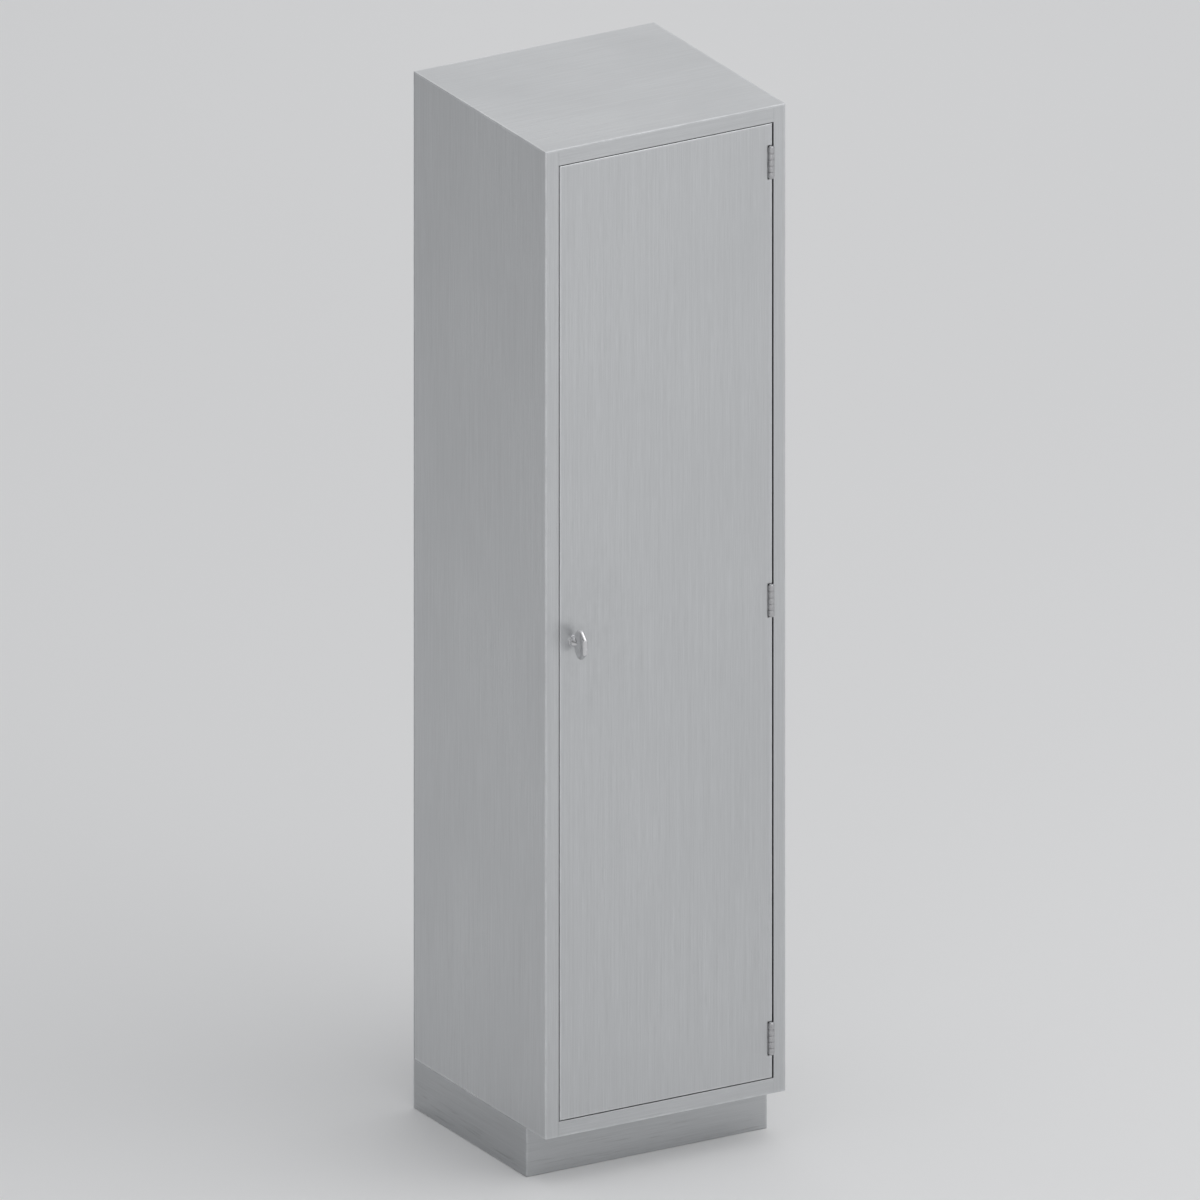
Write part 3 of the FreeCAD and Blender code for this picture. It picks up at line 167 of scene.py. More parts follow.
class CabinetFinishes(bpy.types.PropertyGroup):
    """Colours of the finishes"""

    case_colour: tint("Case steel", "Brushed outside of the case", (0.60, 0.61, 0.62))
    door_colour: tint("Door steel", "Brushed outside of the door", (0.60, 0.61, 0.62))
    inner_colour: tint("Inside steel", "Mill finish inside the case and on the shelves", (0.62, 0.63, 0.64))
    plinth_colour: tint("Plinth steel", "Scuffed steel of the plinth", (0.52, 0.53, 0.54))
    hinge_colour: tint("Hinge steel", "Satin steel of the hinges", (0.50, 0.50, 0.51))
    handle_colour: tint("Handle", "Polished metal of the handle and its rose", (0.70, 0.70, 0.71))
    latch_colour: tint("Latch steel", "Plain steel of the latch and its rods", (0.50, 0.50, 0.51))
    zinc_colour: tint("Zinc", "Plated screws, clips and levellers", (0.62, 0.62, 0.60))
    bronze_colour: tint("Bronze", "Bush of the handle's spindle", (0.62, 0.47, 0.28))
    nylon_colour: tint("Nylon", "Guides of the latch rods", (0.85, 0.85, 0.83))
    rubber_colour: tint("Rubber", "Door bumpers", (0.06, 0.06, 0.06))
    plug_colour: tint("Plug plastic", "Covers of the leveller holes", (0.25, 0.26, 0.27))
    board_colour: tint("Honeycomb board", "Paper core of the door", (0.62, 0.50, 0.36))
    grain_width: length("Grain width", "Spacing of the brushed lines", 0.0005)
    grain_length: length("Grain length", "Length of the brushed lines", 0.06)
    # Width of the edge band rubbed glossier by wear and lightened there as a painted highlight
    wear_width: length("Wear width", "How far from an edge the steel is rubbed bright", 0.005)


class CabinetHinges(bpy.types.PropertyGroup):
    """Sizes of the five-knuckle hinges"""

    barrel_radius: length("Barrel radius", "Outside of the knuckles", 0.00635)
    pin_radius: length("Pin radius", "Shaft inside the knuckles", 0.003175)
    pin_play: length("Pin play", "Between the shaft and the knuckles' bore", 0.0001)
    tip_radius: length("Tip radius", "Crowned tip of the pin", 0.0058)
    tip_height: length("Tip height", "How far a tip stands past the barrel", 0.0026)
    leaf_thickness: length("Leaf thickness", "Plate of each leaf", 0.002)
    knuckle_gap: length("Knuckle gap", "Play between two knuckles", 0.0004)
    knuckle_room: length("Knuckle room", "Play around the other leaf's knuckles", 0.0005)
    edge: length("Edge", "Rounding of edges", 0.0006)
    knuckles: IntProperty(name="Knuckles", description="Knuckles of one hinge", default=5, min=3)
    screw_radius: length("Screw radius", "Head of a leaf screw", 0.0036)
    screw_rise: length("Screw rise", "How far a leaf screw's head is raised", 0.0005)
    screw_end: length("Screw end distance", "From a screw to the end of its leaf", 0.01275)
    screw_edge: length("Screw edge distance", "From the rear screws to the leaf's rear edge", 0.007)
    screw_spacing: length("Screw spacing", "Between the two columns of screws", 0.011)


class CabinetHandle(bpy.types.PropertyGroup):
    """Sizes of the turn handle and its rose"""

    grip_thickness: length("Grip thickness", "Across the upright plate", 0.010)
    grip_back: length("Grip back", "From the door's face to the plate's rear edge", 0.010)
    grip_slope: length("Grip slope", "From the plate's rear edge to its tallest part", 0.012)
    grip_band: length("Grip band", "Length of the plate's tallest part", 0.010)
    back_drop: length("Rear drop", "How much lower the rear edge ends than the tallest part", 0.012)
    front_drop: length("Front drop", "How much lower the front edge ends than the tallest part", 0.015)
    shoulder_round: length("Shoulder rounding", "Corners of the tallest part", 0.0085)
    corner_round: length("Corner rounding", "Corners of the front and rear edges", 0.006)
    rim_round: length("Rim rounding", "Rounding between the rim and the flanks", 0.004)
    hub_length: length("Hub length", "Straight part of the hub", 0.005)
    hub_taper: length("Hub taper", "Part of the hub that narrows into the plate", 0.011)
    hub_tip: length("Hub tip radius", "Where the hub ends inside the plate", 0.0045)
    rose_radius: length("Rose radius", "Foot of the rose on the door", 0.012)
    rose_base: length("Rose base", "Thickness of the rose's foot", 0.004)
    rose_neck: length("Rose neck radius", "Neck of the rose", 0.0105)
    rose_edge: length("Rose edge", "Rounding of the rose", 0.001)
    rose_bore: length("Rose bore", "Hole for the spindle", 0.0043)


class CabinetLatch(bpy.types.PropertyGroup):
    """Sizes of the latch's visible hardware"""

    rod_tip: length("Rod tip", "Crown at a rod's working end", 0.0015)
    guide_bore: length("Guide bore", "Hole in a guide, as a radius", 0.00408)
    guide_half_width: length("Guide half width", "Half the width of a guide", 0.0085)
    guide_half_height: length("Guide half height", "Half the height of a guide's loop", 0.008)
    guide_ear: length("Guide ear", "Screw ear above and below the loop", 0.012)
    guide_base: length("Guide base", "Thickness of the ears", 0.002)
    guide_near: length("Guide distance", "From the handle to the nearer guides", 0.16)
    guide_edge: length("Guide edge", "Rounding of the moulded edges", 0.0012)
    screw_radius: length("Screw radius", "Round screw heads", 0.0035)
    screw_height: length("Screw height", "Round screw heads", 0.0024)
    shank_radius: length("Shank radius", "Screw shanks", 0.002)
    screw_reach: length("Screw reach", "How far a screw goes into the door", 0.0075)


class CabinetFeet(bpy.types.PropertyGroup):
    """Sizes of the levellers and plugs"""

    stem_radius: length("Stem radius", "Outside of a leveller's thread", 0.005)
    thread_pitch: length("Thread pitch", "Rise of the thread in one turn", 0.0015)
    thread_depth: length("Thread depth", "From crest to root", 0.0009)
    foot_height: length("Foot height", "Thickness of a leveller's foot", 0.007)
    foot_chamfer: length("Foot chamfer", "Bevel on the foot's upper edge", 0.00175)
    plug_stem: length("Plug stem radius", "Part of a plug inside its hole", 0.0095)
    plug_rim: length("Plug rim height", "Part of a plug above the floor of the case", 0.0015)


class CabinetStage(bpy.types.PropertyGroup):
    """The floor, the surroundings and the camera"""

    azimuth: number("Azimuth", "Camera's turn from straight in front", math.radians(-29.91), **ANGLE)
    elevation: number("Elevation", "Camera's height above level", math.radians(20.82), **ANGLE)
    view_width: length("View width", "Width that the camera sees", 2.30885)
    shift_right: number("Aim right", "From the origin to the view's middle, across it", -0.0113, **DISTANCE)
    shift_up: number("Aim up", "From the origin to the view's middle, up it", 1.01526, **DISTANCE)
    camera_distance: length("Camera distance", "From the camera to the cabinet", 8.0)
    floor_size: length("Floor size", "Side of the floor", 240.0)
    floor_colour: tint("Floor", "Pale studio floor", (0.86, 0.86, 0.86))
    sky_colour: tint("Surroundings", "Plain light around the cabinet", (0.97, 0.98, 1.0))
    horizon_light: number("Horizon light", "Strength of the surroundings at eye level", 0.16, min=0.0)
    zenith_light: number("Overhead light", "Strength of the surroundings overhead", 0.66, min=0.0)


# Places in the packed solids
def corners_of(node):
    """Lowest and highest corner of a packed node."""
    low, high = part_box(node)
    return np.array(low), np.array(high)


def box_around(*nodes):
    """Lowest and highest corner of several packed nodes together."""
    corners = np.array([corners_of(node) for node in nodes])
    return corners[:, 0].min(axis=0), corners[:, 1].max(axis=0)


def upright_of(node):
    """Axis, radius, bottom and top of a packed upright round."""
    low, high = corners_of(node)
    return (low + high) / 2 * (1.0, 1.0, 0.0), (high[0] - low[0]) / 2, low[2], high[2]


# Surfaces
def grid_faces(rows, columns, closed):
    """Quads of a grid whose columns go once round; with closed, its last row also joins its first."""
    row, column = np.meshgrid(np.arange(rows if closed else rows - 1), np.arange(columns), indexing="ij")
    next_row = (row + 1) % rows
    next_column = (column + 1) % columns
    corners = (row * columns + column, row * columns + next_column)
    corners += (next_row * columns + next_column, next_row * columns + column)
    return np.stack(corners, axis=-1).reshape(-1, 4)


def angles_round(columns):
    """Even angles once round."""
    return np.linspace(0.0, FULL_TURN, columns, endpoint=False)


def quarter_arc(steps=5):
    """Cosine and sine from 0 to a right angle."""
    angle = np.linspace(0.0, RIGHT_ANGLE, steps)
    return np.cos(angle), np.sin(angle)


def turned(radius, height, centre, axis, closed=False, columns=48):
    """Radius and height by row (and by angle, if given) carried once round an axis through a centre."""
    angle = angles_round(columns)
    rows = len(radius)
    radius = np.broadcast_to(np.asarray(radius, float).reshape(rows, -1), (rows, columns))
    height = np.broadcast_to(np.asarray(height, float).reshape(rows, -1), (rows, columns))
    local = np.stack((radius * np.cos(angle), radius * np.sin(angle), height), axis=-1)
    points = local @ AXES[axis] + np.asarray(centre, float)
    return points.reshape(-1, 3), grid_faces(rows, columns, closed)


def ring(reach, bore, low, high, edge, centre, axis, columns=48):
    """A sleeve: from the bore out to a reach that may change with the angle, with rounded outer edges."""
    cosine, sine = quarter_arc()
    up = np.broadcast_to(reach, columns) - edge + edge * sine[:, None]
    inner = np.full((1, columns), bore)
    rise = edge * (1.0 - cosine)
    radius = np.r_[inner, up, up[::-1], inner]
    height = np.r_[low, low + rise, high - rise[::-1], high]
    return turned(radius, height, centre, axis, closed=True, columns=columns)


def rounded_block(low, high, edge, steps=4):
    """A box with rounded edges: a ball's directions, each pushed out to its own corner of a smaller box."""
    low, high = np.asarray(low, float), np.asarray(high, float)
    inner = (high - low) / 2 - edge
    quarter = np.linspace(0.0, RIGHT_ANGLE, steps)
    around = (quarter + RIGHT_ANGLE * np.arange(4)[:, None]).ravel()
    side_x = np.repeat((1, -1, -1, 1), steps)
    side_y = np.repeat((1, 1, -1, -1), steps)
    tilt = np.r_[quarter - RIGHT_ANGLE, quarter]
    side_z = np.repeat((-1, 1), steps)
    x = side_x * inner[0] + edge * np.outer(np.cos(tilt), np.cos(around))
    y = side_y * inner[1] + edge * np.outer(np.cos(tilt), np.sin(around))
    z = np.broadcast_to((side_z * inner[2] + edge * np.sin(tilt))[:, None], x.shape)
    rings = np.stack((x, y, z), axis=-1)
    caps = rings[[0, -1]] * (0.0, 0.0, 1.0)
    points = np.r_[caps[:1], rings, caps[1:]] + (low + high) / 2
    return points.reshape(-1, 3), grid_faces(len(points), len(around), False)


def smooth_step(value):
    """0 below 0, 1 above 1 and an even S between."""
    value = np.clip(value, 0.0, 1.0)
    return value * value * (3.0 - 2.0 * value)


def slot_shape(across, along):
    """1 inside a slot of a cross, sloping to 0 at its sides and ends."""
    width = smooth_step((CROSS_HALF_WIDTH + CROSS_SLOPE - across) / CROSS_SLOPE)
    return width * smooth_step((CROSS_HALF_LENGTH - along) / CROSS_SLOPE)


def cross_head(centre, axis, way, radius, rise, skirt, rows=14, columns=40):
    """A domed screw head: a dish of that rise, less a cross of two crossing slots, on a straight skirt."""
    angle = angles_round(columns)
    share = np.linspace(0.0, 1.0, rows)
    across = np.abs(np.outer(share, np.cos(angle)))
    along = np.abs(np.outer(share, np.sin(angle)))
    cross = np.maximum(slot_shape(across, along), slot_shape(along, across)) * (CROSS_DEPTH * radius)
    dish = rise * np.sqrt(np.clip(1.0 - HEAD_CURVE * share**2, 0.0, 1.0))[:, None] - cross
    heights = np.r_[dish, np.full((2, columns), -skirt)]
    return turned(np.r_[share * radius, radius, 0.0], way * heights, centre, axis, columns=columns)


def shank(centre, axis, way, radius, reach, columns=16):
    """A screw's shank, a plain bar with a coned end."""
    heights = way * np.array((0.0, 0.0, reach - radius, reach))
    return turned((0.0, radius, radius, 0.0), heights, centre, axis, columns=columns)


def rounded_plate(corners, half, rim, centre, steps=9, rim_steps=8):
    """An outline of (depth, height, corner radius) carried across a thickness, its rims quarter circles.

    The outline is convex, and each corner is an arc that keeps its middle while its radius shrinks.
    """
    places = np.array([corner[:2] for corner in corners], float)
    radii = np.array([corner[2] for corner in corners], float)
    into = places - np.roll(places, 1, axis=0)
    into /= np.linalg.norm(into, axis=1)[:, None]
    out = np.roll(into, -1, axis=0)
    heading = np.arctan2(into[:, 1], into[:, 0])
    bend = np.arctan2(into[:, 0] * out[:, 1] - into[:, 1] * out[:, 0], (into * out).sum(axis=1))
    way = np.sign(bend.sum())
    inward = way * np.stack((-into[:, 1], into[:, 0]), axis=-1)
    setback = radii * np.tan(np.abs(bend) / 2)
    middles = places - into * setback[:, None] + inward * radii[:, None]
    angle = heading[:, None] + bend[:, None] * np.linspace(0.0, 1.0, steps) - way * RIGHT_ANGLE
    normals = np.stack((np.cos(angle), np.sin(angle)), axis=-1).reshape(-1, 2)
    middles = np.repeat(middles, steps, axis=0)
    radii = np.repeat(radii, steps)
    cosine, sine = quarter_arc(rim_steps)
    across = np.r_[-half, -half + rim * (1.0 - sine[::-1]), half - rim * (1.0 - sine), half]
    inset = np.r_[rim * (1.0 - cosine[::-1]), rim * (1.0 - cosine)]
    outline = middles + normals * (radii - inset[:, None])[..., None]
    cap = np.broadcast_to(outline[0].mean(axis=0), outline[:1].shape)
    outline = np.r_[cap, outline, cap]
    x = np.broadcast_to(across[:, None], outline.shape[:2])
    points = np.stack((x, -outline[..., 0], outline[..., 1]), axis=-1) + np.asarray(centre, float)
    return points.reshape(-1, 3), grid_faces(len(across), outline.shape[1], False)


def screw_thread(radius, depth, pitch, low, high, centre, columns=24):
    """A stem whose radius falls and rises once per pitch, a part turn later at each angle round it."""
    steps = max(int((high - low) / pitch * THREAD_ROWS), THREAD_ROWS)
    height = np.linspace(low, high, steps)
    wave = 0.5 + 0.5 * np.cos(FULL_TURN * height[:, None] / pitch - angles_round(columns))
    fade = smooth_step(np.minimum(height - low, high - height) / (THREAD_FADE * pitch))[:, None]
    ends = np.zeros((1, columns))
    radii = np.r_[ends, radius - depth * wave * fade, ends]
    return turned(radii, np.r_[low, height, high], centre, "z", columns=columns)


def add_object(name, data):
    """A new object in the scene."""
    item = bpy.data.objects.new(name, data)
    bpy.context.scene.collection.objects.link(item)
    return item


def add_piece(name, shells, body, finish_name, *nodes):
    """One object out of closed shells, riding on a body in place of packed nodes."""
    starts = np.cumsum([0] + [len(points) for points, _ in shells])
    vertices = np.concatenate([points for points, _ in shells])
    faces = np.concatenate([quads + start for (_, quads), start in zip(shells, starts)])
    mesh = bpy.data.meshes.new(name)
    mesh.from_pydata(vertices.tolist(), [], faces.tolist())
    work = bmesh.new()
    work.from_mesh(mesh)
    bmesh.ops.remove_doubles(work, verts=work.verts, dist=WELD_DISTANCE)
    bmesh.ops.dissolve_degenerate(work, edges=work.edges, dist=WELD_DISTANCE)
    bmesh.ops.recalc_face_normals(work, faces=work.faces)
    work.to_mesh(mesh)
    work.free()
    mesh.shade_smooth()
    mesh.set_sharp_from_angle(angle=SMOOTH_ANGLE)
    mesh.materials.append(finish(finish_name))
    piece = add_object(name, mesh)
    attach(piece, body)
    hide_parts(*nodes)


# Finishes
class Nodes:
    """The node tree of a material or a world, built a node at a time."""

    def __init__(self, block, shader="Principled BSDF", place="Object"):
        block.use_nodes = True
        self.tree = block.node_tree
        self.shader = self.tree.nodes[shader]
        self.place = self.add("ShaderNodeTexCoord", {}).outputs[place]

    def feed(self, node, inputs):
        """Link each input of a node to an output, or set it to a number, vector or colour."""
        for key, value in inputs.items():
            if isinstance(value, bpy.types.NodeSocket):
                self.tree.links.new(value, node.inputs[key])
            else:
                node.inputs[key].default_value = value

    def add(self, kind, inputs, **settings):
        """A new node with its settings and inputs."""
        node = self.tree.nodes.new(kind)
        for key, value in settings.items():
            setattr(node, key, value)
        self.feed(node, inputs)
        return node

    def noise(self, waves, detail=3.0, rough=0.5, shift=(0.0, 0.0, 0.0)):
        """Cloudy noise on the object's coordinates, with waves per metre along each axis."""
        mapping = self.add("ShaderNodeMapping", {"Vector": self.place, "Scale": waves, "Location": shift})
        inputs = {"Vector": mapping.outputs["Vector"], "Scale": 1.0, "Detail": detail, "Roughness": rough}
        return self.add("ShaderNodeTexNoise", inputs).outputs["Fac"]

    def spread(self, value, low, high, to_low=0.0, to_high=1.0):
        """A value's range spread onto another, held at its ends."""
        inputs = {"Value": value, "From Min": low, "From Max": high, "To Min": to_low, "To Max": to_high}
        return self.add("ShaderNodeMapRange", inputs, clamp=True).outputs["Result"]

    def sums(self, operation, first, second=0.0):
        """One step of arithmetic."""
        return self.add("ShaderNodeMath", {0: first, 1: second}, operation=operation).outputs[0]

    def plus(self, first, second):
        """The sum of two values."""
        return self.sums("ADD", first, second)

    def times(self, first, second):
        """The product of two values."""
        return self.sums("MULTIPLY", first, second)

    def mix(self, share, first, second):
        """Two colours by a share, on the node's colour sockets."""
        return self.add("ShaderNodeMix", {0: share, 6: first, 7: second}, data_type="RGBA").outputs[2]

    def distance(self, spot):
        """Distance from a spot on the object."""
        node = self.add("ShaderNodeVectorMath", {0: self.place, 1: spot}, operation="DISTANCE")
        return node.outputs["Value"]

    def axis(self, name):
        """One coordinate of the place on the object."""
        return self.add("ShaderNodeSeparateXYZ", {0: self.place}).outputs[name]

    def edge_distance(self, low, high):
        """Distance to the nearest edge of a box, from its surface: the middle one of those to its faces."""
        gaps = []
        for name, middle, half in zip("XYZ", (low + high) / 2, (high - low) / 2):
            offset = self.sums("ABSOLUTE", self.sums("SUBTRACT", self.axis(name), float(middle)))
            gaps.append(self.sums("SUBTRACT", float(half), offset))
        lesser = self.sums("MINIMUM", gaps[0], gaps[1])
        greater = self.sums("MAXIMUM", gaps[0], gaps[1])
        return self.sums("MAXIMUM", lesser, self.sums("MINIMUM", greater, gaps[2]))

    def bump(self, height, strength, depth):
        """Normals of a relief."""
        inputs = {"Height": height, "Strength": strength, "Distance": depth}
        return self.add("ShaderNodeBump", inputs).outputs["Normal"]

    def surface(self, paint, gloss, relief, **others):
        """Feed the shader its colour, roughness, normals and others."""
        self.feed(self.shader, {"Base Color": paint, "Roughness": gloss, "Normal": relief, **others})


def shade(colour, factor):
    """A colour made lighter or darker, as four numbers."""
    return tuple(min(channel * factor, 1.0) for channel in colour) + (1.0,)


def brushed_steel(nodes, colour, grain, rough, stretched=0.0, worn_and_highlit=None, handled=None, scuffed=None):
    """Rolled and brushed sheet: fine lines, broader streaks and faint clouds along one axis of the object.

    worn_and_highlit: nodes whose common box has edges that are rubbed glossier by wear and lightened in
    colour, the lighter tone a painted highlight along those edges; handled: a spot with smudges of hands;
    scuffed: a height below which shoes leave marks.
    """
    finishes = bpy.context.scene.cabinet_finishes
    fine = [1.0 / finishes.grain_width] * 3
    fine[GRAIN[grain]] = 1.0 / finishes.grain_length
    broad = [STREAK_WAVES] * 3
    broad[GRAIN[grain]] = STREAK_WAVES_ALONG
    lines = nodes.noise(fine, detail=2.0)
    streaks = nodes.noise(broad, shift=(3.1, 1.7, 5.3))
    clouds = nodes.noise(CLOUD_WAVES, detail=4.0, rough=0.55, shift=(7.7, 2.9, 0.4))
    line_tone = nodes.spread(lines, 0.32, 0.68, 0.0, LINE_SHARE)
    tone = nodes.plus(line_tone, nodes.spread(streaks, 0.3, 0.7, 0.0, 1.0 - LINE_SHARE))
    paint = nodes.mix(tone, shade(colour, 1.0 - GRAIN_CONTRAST), shade(colour, 1.0 + GRAIN_CONTRAST))
    paint = nodes.mix(nodes.spread(clouds, 0.35, 0.75, 0.0, 0.4), paint, shade(colour, 0.96))
    line_gloss = nodes.spread(lines, 0.2, 0.8, rough - 0.05, rough + 0.05)
    gloss = nodes.plus(line_gloss, nodes.spread(clouds, 0.4, 0.7, 0.0, 0.07))
    marks = {}
    if handled is not None:
        near = nodes.spread(nodes.distance(handled), *SMUDGE_REACH, 1.0, 0.0)
        prints = nodes.noise(SMUDGE_WAVES, detail=5.0, rough=0.62)
        marks["smudge"] = nodes.times(near, nodes.spread(prints, 0.44, 0.62))
    if scuffed is not None:
        low_down = nodes.spread(nodes.axis("Z"), 0.0, scuffed, 1.0, 0.15)
        scrapes = nodes.noise(SCUFF_WAVES, detail=5.0, rough=0.68, shift=(1.3, 8.2, 4.4))
        marks["scuff"] = nodes.times(low_down, nodes.spread(scrapes, 0.56, 0.68))
    # Edges of the box rubbed glossier by wear; their lighter colour is a painted highlight along the edges
    if worn_and_highlit is not None:
        rim = nodes.spread(nodes.edge_distance(*box_around(*worn_and_highlit)), 0.0, finishes.wear_width, 1.0, 0.0)
        patches = nodes.noise(RUB_AND_HIGHLIGHT_WAVES, detail=4.0, rough=0.6, shift=(4.6, 0.7, 2.2))
        marks["rub"] = nodes.times(rim, nodes.spread(patches, 0.36, 0.6, 0.3, 1.0))
    for kind, mark in marks.items():
        strength, mark_tone, change = MARKS[kind]
        gloss = nodes.plus(gloss, nodes.times(mark, change))
        paint = nodes.mix(nodes.times(mark, strength), paint, shade(colour, mark_tone))
    relief = nodes.bump(nodes.plus(lines, nodes.times(clouds, 2.0)), 0.10, 0.0004)
    nodes.surface(paint, gloss, relief, Metallic=1.0, Anisotropic=stretched)


def turned_metal(nodes, colour, rough, spots):
    """Small metal hardware: fine random scratches in the gloss and a slightly cloudy colour."""
    clouds = nodes.noise((spots,) * 3, detail=4.0)
    scratches = nodes.noise((spots * 9.0, spots * 2.0, spots * 9.0), rough=0.6)
    paint = nodes.mix(nodes.spread(clouds, 0.3, 0.7), shade(colour, 0.90), shade(colour, 1.05))
    scratch_gloss = nodes.spread(scratches, 0.35, 0.7, rough - 0.04, rough + 0.06)
    gloss = nodes.plus(scratch_gloss, nodes.spread(clouds, 0.4, 0.7, 0.0, 0.05))
    nodes.surface(paint, gloss, nodes.bump(scratches, 0.06, 0.0002), Metallic=1.0)


def moulded(nodes, colour, rough, pebbles, depth):
    """Moulded rubber or plastic: an even colour with a fine pebbled skin."""
    skin = nodes.noise((pebbles,) * 3, detail=2.0)
    clouds = nodes.noise((40.0,) * 3, shift=(2.0, 5.0, 1.0))
    paint = nodes.mix(nodes.spread(clouds, 0.35, 0.7), shade(colour, 0.92), shade(colour, 1.05))
    gloss = nodes.spread(skin, 0.3, 0.7, rough - 0.06, rough + 0.06)
    nodes.surface(paint, gloss, nodes.bump(skin, 0.25, depth))


def honeycomb(nodes, colour):
    """Paper honeycomb: pale cells with darker walls."""
    inputs = {"Vector": nodes.place, "Scale": 70.0, "Randomness": 0.25}
    cells = nodes.add("ShaderNodeTexVoronoi", inputs, feature="DISTANCE_TO_EDGE")
    fibre = nodes.noise((300.0,) * 3, detail=4.0)
    wall = nodes.spread(cells.outputs["Distance"], 0.03, 0.10, 1.0, 0.0)
    paint = nodes.mix(nodes.spread(fibre, 0.3, 0.7), shade(colour, 0.9), shade(colour, 1.08))
    paint = nodes.mix(nodes.times(wall, 0.6), paint, shade(colour, 0.6))
    gloss = nodes.spread(fibre, 0.3, 0.7, 0.8, 0.95)
    nodes.surface(paint, gloss, nodes.bump(wall, 0.3, 0.0006))


# Each finish: its maker and colour, then the maker's other arguments in order
RECIPES = {
    "case_upright": (brushed_steel, "case_colour", "upright", 0.30, STRETCH, CASE),
    "case_across": (brushed_steel, "case_colour", "across", 0.30, 0.0, CASE),
    "rail_across": (brushed_steel, "case_colour", "across", 0.30, STRETCH, CASE),
    "door_outside": (brushed_steel, "door_colour", "upright", 0.30, STRETCH, DOOR, tuple(HANDLE_AXIS)),
    "inside_upright": (brushed_steel, "inner_colour", "upright", 0.40),
    "inside_across": (brushed_steel, "inner_colour", "across", 0.40),
    "plinth_across": (brushed_steel, "plinth_colour", "across", 0.42, 0.0, PLINTH, None, SCUFF_HEIGHT),
    "plinth_along": (brushed_steel, "plinth_colour", "along", 0.42, 0.0, PLINTH, None, SCUFF_HEIGHT),
    "hinge_satin": (turned_metal, "hinge_colour", 0.27, 160.0),
    "handle_polish": (turned_metal, "handle_colour", 0.15, 120.0),
    "latch_plain": (turned_metal, "latch_colour", 0.36, 140.0),
    "zinc_plate": (turned_metal, "zinc_colour", 0.33, 220.0),
    "bush_bronze": (turned_metal, "bronze_colour", 0.35, 220.0),
    "guide_nylon": (moulded, "nylon_colour", 0.45, 900.0, 0.0001),
    "bumper_rubber": (moulded, "rubber_colour", 0.75, 1400.0, 0.0002),
    "plug_plastic": (moulded, "plug_colour", 0.5, 1100.0, 0.0002),
    "honeycomb_board": (honeycomb, "board_colour"),
}
# Each finish made so far, by its name
FINISHES = {}


def finish(name):
    """A finish by name, made once."""
    if name not in FINISHES:
        maker, colour, *settings = RECIPES[name]
        FINISHES[name] = bpy.data.materials.new(name)
        maker(Nodes(FINISHES[name]), getattr(bpy.context.scene.cabinet_finishes, colour), *settings)
    return FINISHES[name]


def dress(finish_name, *nodes):
    """Give packed nodes a finish."""
    for node in nodes:
        for slot in frame["nodes"][node].material_slots:
            slot.material = finish(finish_name)


# Shapes of the pieces
def leveller(sizes, node):
    """A bevelled foot with a low collar, and a threaded stem."""
    centre, radius, bottom, high = upright_of(node)
    top = bottom + sizes.foot_height
    collar = top + COLLAR_HEIGHT
    bevel = sizes.foot_chamfer
    radii = (0.0, radius - SMALL_EDGE, radius, radius, radius - bevel, COLLAR_RADIUS, COLLAR_TOP, 0.0)
    heights = (bottom, bottom, bottom + SMALL_EDGE, top - bevel, top, top, collar, collar)
    stem = screw_thread(sizes.stem_radius, sizes.thread_depth, sizes.thread_pitch, top, high, centre)
    return [turned(radii, heights, centre, "z"), stem]


def plug(sizes, corner):
    """A low dome that falls with the cube of the radius, a rim and a stem."""
    low, high = corners_of("access_plugs")
    centre, *_ = upright_of(f"leveller_{corner}")
    rim = high[1] - centre[1] if "rear" in corner else centre[1] - low[1]
    seat = high[2] - sizes.plug_rim
    stem = sizes.plug_stem
    share = np.linspace(0.0, 1.0, 8)
    radii = np.r_[rim * PLUG_CROWN * share, rim, rim, stem, stem, 0.0]
    heights = np.r_[high[2] - PLUG_DOME * share**3, high[2] - PLUG_EDGE, seat, seat, low[2], low[2]]
    return turned(radii, heights, centre, "z")


def bumpers():
    """Full oval domes on short straight feet."""
    low, high = corners_of("door_bumpers")
    radius = (high[0] - low[0]) / 2
    reach = high[1] - low[1]
    cosine, sine = quarter_arc(9)
    radii = np.r_[radius * sine**BUMPER_FULLNESS, radius, 0.0]
    heights = np.r_[-BUMPER_DOME * reach * cosine - (1.0 - BUMPER_DOME) * reach, 0.0, 0.0]
    x = (low[0] + high[0]) / 2
    rows = (low[2] + radius, HANDLE_AXIS[2], high[2] - radius)
    return [turned(radii, heights, (x, high[1], z), "y", columns=32) for z in rows]


